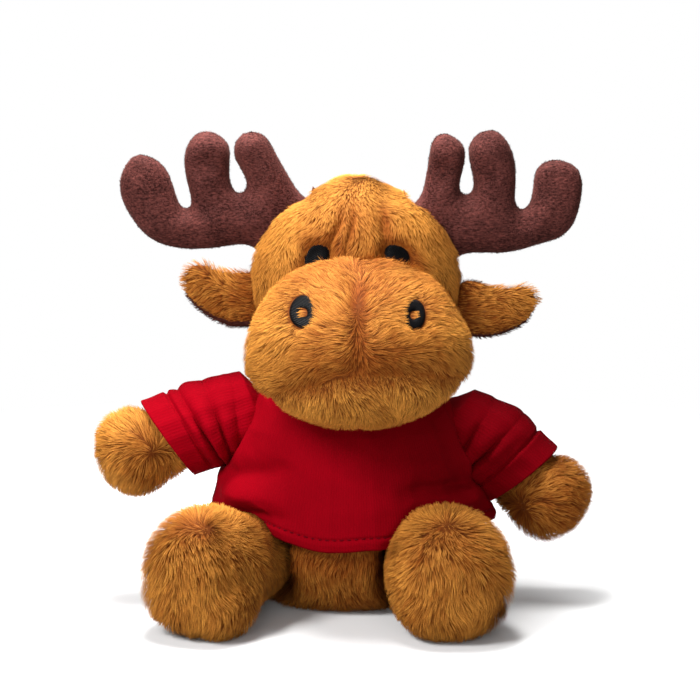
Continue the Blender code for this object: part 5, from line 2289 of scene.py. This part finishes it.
class Shirt:
    """The jersey T-shirt: front, back, sleeves, neckband and hem stitches."""

    HEM_BAND = 4.6 * MM
    HEM_TURN = 1.5 * MM
    HEM_INSIDE = 6.0 * MM
    HEM_RISE = 4.0 * MM
    STITCH_PITCH = 2.7 * MM
    STITCH_LENGTH = 1.7 * MM
    STITCH_RINGS = 5
    STITCH_SIDES = 6
    ARMHOLE_RADIUS = 16.6 * MM
    ARM_CLEAR = 8.0 * MM
    LIMB_CLEAR_FROM = -6.0 * MM
    CUFF_BAND = 8.2 * MM
    CUFF_INSIDE = 7.0 * MM
    CUFF_RADIUS = 16.0 * MM
    SLEEVE_ROOT = -13.0 * MM
    PANEL_MIDDLE = 0.055
    COLUMNS = 170
    ROWS = 130
    SLEEVE_COLUMNS = 120
    SLEEVE_ROWS = 120
    BAND_COLUMNS = 128
    # How far in, in millimetres, and how high, as a share of the band
    BAND_PROFILE = (
        (0.0, 0.1), (0.15, 0.22), (0.9, 0.30), (2.6, 0.75), (4.0, 0.98), (4.4, 0.86), (3.6, 0.55),
    )

    def __init__(self, finishes: Finishes) -> None:
        """Reads the shirt's space from the frame.

        Args:
            finishes: the toy's materials.
        """
        self.finishes = finishes
        self.hull = self.hull_tree(["shirt_front", "shirt_back"])
        low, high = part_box("shirt_front")
        self.hem = low[2]
        self.top = high[2]
        self.axis = box_middle("shirt_neckband")[:2]
        self.arms = {side: Limb("arm", "shoulder", side) for side in Side}
        self.legs = {side: Limb("leg", "hip", side) for side in Side}

    @staticmethod
    def hull_tree(nodes: Sequence[str]) -> BVHTree:
        """A search tree of the hull round some nodes.

        Args:
            nodes: the frame's nodes.

        Returns:
            The tree.
        """
        data = joined_nodes(nodes)
        hull = bmesh.ops.convex_hull(data, input=data.verts)
        loose = [item for item in hull["geom_interior"] if isinstance(item, bmesh.types.BMVert)]
        bmesh.ops.delete(data, geom=loose, context="VERTS")
        inner = [face for face in data.faces if face not in set(hull["geom"])]
        bmesh.ops.delete(data, geom=inner, context="FACES")
        tree = BVHTree.FromBMesh(data)
        data.free()
        return tree

    @classmethod
    def cuff_slant(cls, side: Side) -> float:
        """How far a sleeve's end leans along the arm at the top of its cuff."""
        return cls.CUFF_RADIUS * math.tan(math.radians(SLEEVE_CUTS[side].slant))

    def middle_at(self, height: float) -> Array:
        """The point of the shirt's upright axis at a height."""
        return np.array([*self.axis, height])

    def body_point(self, turn: float, height: float, grow: float) -> Array:
        """A point of the shirt's body.

        Args:
            turn: the direction from the middle, from straight ahead towards the toy's left.
            height: how high it lies.
            grow: how far outside the solid it lies.

        Returns:
            The point.
        """
        outward = np.array([math.sin(turn), -math.cos(turn), 0.0])
        middle = self.middle_at(height)
        hit = self.hull.ray_cast(Vector(middle + outward * 0.2), Vector(-outward))[0]
        radius = (np.array(hit) - middle) @ outward if hit is not None else 0.0
        shoulder = max(0.0, height - self.top + 12.0 * MM) * math.sin(turn) ** 4
        return middle + outward * (radius + grow - 0.45 * shoulder)

    def profile(self) -> list[tuple[float, float]]:
        """Heights and growths down the shirt and up inside its hem.

        Returns:
            The rows, from the neck down.
        """
        heights = np.linspace(self.top - 1.0 * MM, self.hem + 0.8 * MM, self.ROWS)
        rows = []
        for height in heights:
            above = height - self.hem - self.HEM_BAND
            groove = -0.6 * MM * math.exp(-((above / (0.6 * MM)) ** 2))
            swell = 0.35 * MM if above < 0.0 else 0.0
            flare = 0.9 * MM * max(0.0, 1.0 - (height - self.hem) / (30.0 * MM))
            rows.append((height, 0.3 * MM + groove + swell + flare))
        edge = rows[-1][1]
        rows += [(self.hem + 0.2 * MM, edge - 0.2 * MM), (self.hem, edge - 0.7 * MM)]
        rows += [(self.hem + 0.3 * MM, edge - self.HEM_TURN)]
        return [*rows, (self.hem + self.HEM_INSIDE, -self.HEM_TURN)]

    def kept_faces(self, points: Array, faces: Array) -> Array:
        """The faces that lie clear of the arms and the legs.

        Args:
            points: the cloth's corners.
            faces: its faces.

        Returns:
            The faces that stay.
        """
        centres = points[faces].mean(axis=1)
        kept = np.ones(len(faces), dtype=bool)
        for limbs, places, radii in (
            (self.arms, (0.0,), (self.ARM_CLEAR,)),
            (self.legs, (0.0, 15.0 * MM, 30.0 * MM), (17.0 * MM, 19.0 * MM, 22.0 * MM)),
        ):
            for limb in limbs.values():
                along = limb.along(centres)
                close = limb.radius_at(centres) < np.interp(along, places, radii)
                kept &= ~(close & (along > self.LIMB_CLEAR_FROM))
        return faces[kept]

    def slack(self, points: Array, creases: Sequence[Crease]) -> Array:
        """How far the cloth stands out at each point, with nothing at the side seams.

        Args:
            points: places, one a row.
            creases: the panel's folds.

        Returns:
            The distances, in metres.
        """
        turns = np.arctan2(points[:, 0] - self.axis[0], -(points[:, 1] - self.axis[1]))
        beside = np.abs(np.cos(turns))
        amounts = WaveNoise(301, 11.0 * MM).at(points) * 0.4 * MM
        amounts += WaveNoise(302, 4.0 * MM).at(points) * 0.1 * MM
        folds = sum(crease.at(points) for crease in creases)
        amounts -= folds * step_between(0.05, 0.35, beside)
        amounts -= 0.5 * MM * bump_at(beside, 0.03)
        for arm in self.arms.values():
            distance = arm.radius_at(points) - self.ARMHOLE_RADIUS
            near = arm.along(points) > -12.0 * MM
            amounts -= 1.1 * MM * bump_at(distance, 1.4 * MM) * near
            amounts += 0.7 * MM * bump_at(distance - 4.0 * MM, 3.0 * MM) * near
        return amounts

    def hem_rise(self, points: Array) -> Array:
        """How far the thighs push the hem up at each point.

        Args:
            points: places, one a row.

        Returns:
            The heights, in metres.
        """
        across = np.abs(points[:, 0] - self.axis[0])
        reach = step_between(10.0 * MM, 34.0 * MM, across)
        fade = 1.0 - step_between(0.0, 28.0 * MM, points[:, 2] - self.hem)
        wave = 0.4 * MM * np.sin(points[:, 0] / (6.0 * MM))
        return (self.HEM_RISE * reach + wave) * fade

    def panel(self, node: str, middle: float, creases: Sequence[Crease]) -> None:
        """Adds the front or the back.

        Args:
            node: the node that it stands for.
            middle: the direction of its middle.
            creases: its folds.
        """
        rows = self.profile()
        turns = np.linspace(middle - math.pi / 2.0, middle + math.pi / 2.0, self.COLUMNS)
        points = np.array(
            [self.body_point(turn, height, grow) for height, grow in rows for turn in turns]
        )
        outward = unit(points - self.middle_at(self.PANEL_MIDDLE))
        outward[:, 2] *= 0.4
        points += outward * self.slack(points, creases)[:, None]
        points[:, 2] += self.hem_rise(points)
        faces = self.kept_faces(points, grid_faces(len(rows), self.COLUMNS, False))
        used, corners = np.unique(faces, return_inverse=True)
        name = f"{node}_jersey"
        piece = add_piece(name, points[used], corners.reshape(-1, 4), self.finishes.jersey)
        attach(piece, "torso")
        places = grid_places(len(rows), self.COLUMNS, False)[used]
        self.declare(piece, node, places, "body_plush")
        self.stitches(f"{name}_stitches", points.reshape(len(rows), self.COLUMNS, 3))

    @staticmethod
    def declare(piece: bpy.types.Object, node: str, places: Array, carrier: str) -> None:
        """Args:
            piece: the cloth.
            node: the node that it stands for.
            places: each corner's place across and along the cloth, from 0 to 1.
            carrier: the piece that it rests on; not used.
        """
        map_grid(piece, places)
        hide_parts(node)

    def stitches(self, name: str, grid: Array) -> None:
        """Adds the row of stitches along the top of the hem.

        Args:
            name: the piece's name.
            grid: the cloth's corners, row by row.
        """
        heights = np.array([height for height, _ in self.profile()])
        level = int(np.argmin(np.abs(heights[: self.ROWS] - self.hem - self.HEM_BAND)))
        line = grid[level]
        steps = np.linalg.norm(np.diff(line, axis=0), axis=1)
        places = np.concatenate([[0.0], np.cumsum(steps)])
        middle = self.middle_at(0.0)
        turns = np.arange(self.STITCH_SIDES)[:, None] * (2.0 * math.pi / self.STITCH_SIDES)
        tube = grid_faces(self.STITCH_RINGS, self.STITCH_SIDES, True)
        rings, faces = [], []
        for start in np.arange(1.0 * MM, places[-1] - self.STITCH_LENGTH, self.STITCH_PITCH):
            first, last = (
                np.array([np.interp(end, places, line[:, axis]) for axis in range(3)])
                for end in (start, start + self.STITCH_LENGTH)
            )
            if any(
                leg.radius_at(first[None])[0] < 18.5 * MM and leg.along(first[None])[0] > 0.0
                for leg in self.legs.values()
            ):
                continue
            outward = unit(((first + last) / 2.0 - middle)[None] * [1.0, 1.0, 0.0])[0]
            round_it = outward * np.cos(turns) + np.array([0.0, 0.0, 1.0]) * np.sin(turns)
            faces.append(tube + self.STITCH_SIDES * len(rings))
            for share in np.linspace(0.0, 1.0, self.STITCH_RINGS):
                swell = math.sin(share * math.pi)
                spot = first + (last - first) * share + outward * (0.1 + 0.3 * swell) * MM
                rings.append(spot + 0.27 * MM * (0.4 + 0.6 * swell) * round_it)
        points = np.concatenate(rings)
        piece = add_piece(name, points, np.concatenate(faces), self.finishes.red_thread)
        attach(piece, "torso")

    def sleeve(self, side: Side) -> None:
        """Adds one sleeve with its folded cuff.

        Args:
            side: the toy's side.
        """
        limb = self.arms[side]
        node = f"sleeve_{side.value}"
        tree = self.hull_tree([node])
        cut = SLEEVE_CUTS[side]
        cuff = cut.length
        turns = full_turn(self.SLEEVE_COLUMNS)
        slants = self.cuff_slant(side) * np.cos(turns)
        outward = np.outer(np.sin(turns), limb.sideways) + np.outer(np.cos(turns), limb.upward)
        places = np.linspace(self.SLEEVE_ROOT, cuff - 0.4 * MM, self.SLEEVE_ROWS)
        rows = [(place, 0.0) for place in places]
        rows += [(cuff - 0.1 * MM, -0.15 * MM), (cuff, -0.5 * MM), (cuff - 0.1 * MM, -0.9 * MM)]
        rows += [(cuff - 0.6 * MM, -1.2 * MM), (cuff - self.CUFF_INSIDE, -1.3 * MM)]
        reaches = np.array([place + slants * max(0.0, place) / cuff for place, _ in rows])
        solid = self.solid_radii(tree, limb, np.minimum(reaches, cuff + slants - 2.0 * MM), outward)
        rings = []
        for (place, grow), along, radii in zip(rows, reaches, solid):
            stands, slips = self.sleeve_folds(place, turns, cut)
            radii = radii + grow + stands
            rings.append(limb.pivot + np.outer(along + slips, limb.axis) + outward * radii[:, None])
        points = np.concatenate(rings)
        waves = WaveNoise(cut.seed, 6.0 * MM).at(points) * 0.25 * MM
        points += np.tile(outward, (len(rows), 1)) * waves[:, None]
        faces = grid_faces(len(rows), len(turns), True)
        piece = add_piece(f"{node}_jersey", points, faces, self.finishes.band)
        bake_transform(piece)
        places = grid_places(len(rows), len(turns), True)
        self.declare(piece, node, places, f"arm_{side.value}_plush")

    @staticmethod
    def solid_radii(tree: BVHTree, limb: Limb, reaches: Array, outward: Array) -> Array:
        """How far a solid reaches from a limb's line.

        Args:
            tree: the solid's surface.
            limb: the limb.
            reaches: places along the limb, row by row, for each direction.
            outward: the directions.

        Returns:
            The distances; where the solid has ended, the nearest one before it.
        """
        radii = np.full(reaches.shape, np.nan)
        for row, column in np.ndindex(*reaches.shape):
            base = limb.pivot + limb.axis * reaches[row, column]
            start = Vector(base + outward[column] * 0.1)
            hit = tree.ray_cast(start, Vector(-outward[column]))[0]
            if hit is not None:
                radii[row, column] = (np.array(hit) - base) @ outward[column]
        places = np.arange(len(reaches))
        for column in range(reaches.shape[1]):
            known = ~np.isnan(radii[:, column])
            radii[:, column] = np.interp(places, places[known], radii[known, column])
        return radii

    def sleeve_folds(self, place: float, turns: Array, cut: SleeveCut) -> tuple[Array, Array]:
        """How far a sleeve stands out and slips along all round at one place along it.

        Args:
            place: the place along the arm.
            turns: the directions round the arm, from its top.
            cut: what sets this sleeve apart.

        Returns:
            How far it stands out and how far it slips along the arm, in each direction.
        """
        band = cut.length - self.CUFF_BAND
        height = 0.5 * MM / (1.0 + math.exp(-(place - band) / (0.15 * MM)))
        height -= 0.9 * MM * math.exp(-(((place - band + 0.5 * MM) / (0.6 * MM)) ** 2))
        from_top = np.abs(math.pi - np.abs(turns - math.pi))
        upper = 1.0 - step_between(math.radians(130.0), math.radians(165.0), from_top)
        full = cut.bulge * float(bump_at(np.array(place - 11.0 * MM), 9.0 * MM))
        above = np.maximum(0.0, np.cos(turns))
        root = (0.3 + 0.9 * above) * min(0.0, place + 6.5 * MM)
        total = height * upper + root + full * above ** 0.7
        fade = 1.0 - float(step_between(band - 2.0 * MM, band + 1.0 * MM, np.array(place)))
        slips = np.zeros(len(turns))
        for fold in cut.folds:
            stands, slip = fold.at(place, turns)
            total += stands * fade
            slips += slip * fade
        return total, slips

    def neckband(self) -> None:
        """Adds the ribbed band round the neck."""
        low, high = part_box("shirt_neckband")
        outer = (high[0] - low[0]) / 2.0
        drop = high[2] - low[2]
        turns = full_turn(self.BAND_COLUMNS)
        rows = []
        for inward, share in self.BAND_PROFILE:
            radius = outer - inward * MM
            x = self.axis[0] + radius * np.sin(turns)
            y = self.axis[1] - radius * np.cos(turns)
            rows.append(np.column_stack([x, y, np.full(len(turns), low[2] + drop * share)]))
        faces = grid_faces(len(rows), len(turns), True)
        piece = add_piece("neckband_jersey", np.concatenate(rows), faces, self.finishes.band)
        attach(piece, "torso")
        places = grid_places(len(rows), len(turns), True)
        self.declare(piece, "shirt_neckband", places, "body_plush")

    def build(self) -> None:
        """Adds every piece of the shirt."""
        self.panel("shirt_front", 0.0, FRONT_CREASES)
        self.panel("shirt_back", math.pi, BACK_CREASES)
        for side in Side:
            self.sleeve(side)
        self.neckband()


@dataclass(frozen=True)
class Lamp:
    """A soft box.

    Attributes:
        name: its name.
        place: where it hangs.
        size: how large it is.
        power: how bright it is.
    """

    name: str
    place: Triple
    size: float
    power: float

    def build(self) -> None:
        """Adds the lamp, aimed at the toy."""
        light = bpy.data.lights.new(self.name, "AREA")
        light.shape = "SQUARE"
        light.size = self.size
        light.energy = self.power
        lamp = place_object(self.name, light)
        lamp.location = self.place
        aim = Vector(CAMERA_TARGET) - Vector(self.place)
        lamp.rotation_euler = aim.to_track_quat("-Z", "Y").to_euler()


class Studio:
    """The pale sweep, the soft boxes, the surrounding light and the camera."""

    LAMPS = (
        Lamp("key_lamp", (-0.66, -0.64, 0.84), 0.4, 12.5),
        Lamp("fill_lamp", (0.0, -1.2, 0.40), 0.9, 6.0),
        Lamp("top_lamp", (-0.05, 0.02, 0.50), 0.2, 4.0),
        Lamp("back_lamp", (0.0, 1.0, 1.7), 1.2, 10.0),
    )
    WORLD_LIGHT = 0.15
    SWEEP_WIDTH = 5.0
    SWEEP_FRONT = -1.6
    SWEEP_BACK = 1.6
    SWEEP_HEIGHT = 2.4
    SWEEP_RADIUS = 0.8
    SWEEP_STEPS = 24

    def __init__(self, finishes: Finishes) -> None:
        """Keeps the materials."""
        self.finishes = finishes

    def sweep(self) -> None:
        """Adds the floor, which curves up into a backdrop."""
        radius = self.SWEEP_RADIUS
        start = self.SWEEP_BACK - radius
        line = [(self.SWEEP_FRONT, 0.0), (start, 0.0)]
        for step in range(1, self.SWEEP_STEPS + 1):
            turn = 0.5 * math.pi * step / self.SWEEP_STEPS
            line.append((start + radius * math.sin(turn), radius - radius * math.cos(turn)))
        line.append((self.SWEEP_BACK, self.SWEEP_HEIGHT))
        half = self.SWEEP_WIDTH / 2.0
        points = np.array([(x, y, z) for y, z in line for x in (-half, half)])
        faces = grid_faces(len(line), 2, False)
        add_piece("backdrop", points, faces, self.finishes.studio)

    def world(self) -> None:
        """Lights the toy softly from all round and shows white behind it."""
        graph = Graph(bpy.data.worlds.new("studio"))
        lit, seen = (
            graph.shader("ShaderNodeBackground", {"Color": (1.0,) * 4, "Strength": strength})
            for strength in (self.WORLD_LIGHT, 1.0)
        )
        mixed = graph.mix_shaders(graph.camera_rays(), lit, seen)
        bpy.context.scene.world = graph.end(mixed, "ShaderNodeOutputWorld")

    def camera(self) -> None:
        """Adds the camera at the photograph's viewing angle."""
        data = bpy.data.cameras.new("camera")
        data.lens = CAMERA_LENS
        data.sensor_width = CAMERA_SENSOR
        camera = place_object("camera", data)
        tilt = math.radians(CAMERA_ELEVATION)
        x, y, z = CAMERA_TARGET
        y -= CAMERA_DISTANCE * math.cos(tilt)
        camera.location = (x, y, z + CAMERA_DISTANCE * math.sin(tilt))
        camera.rotation_euler = (math.pi / 2.0 - tilt, 0.0, 0.0)
        bpy.context.scene.camera = camera
        bpy.context.scene.view_settings.view_transform = "Standard"

    def build(self) -> None:
        """Adds everything round the toy."""
        self.sweep()
        self.world()
        for lamp in self.LAMPS:
            lamp.build()
        self.camera()


class Toy:
    """The whole toy, member by member."""

    def __init__(self, finishes: Finishes) -> None:
        """Keeps the materials."""
        self.finishes = finishes

    def legs(self, body: Cover) -> list[Cover]:
        """Adds the legs and gives back what they cover.

        Args:
            body: the body's cover.

        Returns:
            The legs' covers.
        """
        shapes = (
            (121, Side.RIGHT, 0.12, 2.0 * MM, 4.0 * MM, 4.5 * MM),
            (131, Side.LEFT, 0.8, 1.3 * MM, 0.0, 1.4 * MM),
        )
        return [
            Cover(Leg(self.finishes, f"leg_{side.value}", seed, side, *shape).build([body]))
            for seed, side, *shape in shapes
        ]

    def build(self) -> None:
        """Adds every member."""
        shirt = Shirt(self.finishes)
        head = Head(self.finishes, "head", 101)
        muzzle = Muzzle(self.finishes, "head", 111)
        head_form = head.form()
        muzzle_form = muzzle.form()
        head_cover = Cover(head_form)
        head.build(head_form, [Cover(muzzle_form)])
        muzzle.build(muzzle_form, [head_cover])
        legs = self.legs(Cover(Surface.from_nodes(Body.NODES, 3.0 * MM, 4)))
        Body(self.finishes, "torso", 141).build(legs, shirt.hem)
        # The right arm, towards the key lamp, gets painted light, and the left arm painted shade
        for step, side, whorl, shade, rim in (
            (0, Side.RIGHT, (38.0 * MM, -12.0 * MM, 0.0), 0.12, 2.6 * MM),
            (1, Side.LEFT, (36.0 * MM, 12.0 * MM, -9.0 * MM), -0.26, 1.4 * MM),
        ):
            name = side.value
            Arm(self.finishes, f"arm_{name}", 151 + step, side, whorl, shade).build()
            Ear(self.finishes, f"ear_{name}", 161 + 4 * step, side, rim).build([head_cover])
            Antler(self.finishes, f"antler_{name}", 181 + 10 * step, side).build()
        shirt.build()


def main() -> None:
    """Builds the toy and the studio."""
    logging.basicConfig(level=logging.INFO, format="%(message)s", stream=sys.stdout)
    finishes = Finishes()
    Studio(finishes).build()
    Toy(finishes).build()


if __name__ == "__main__":
    main()
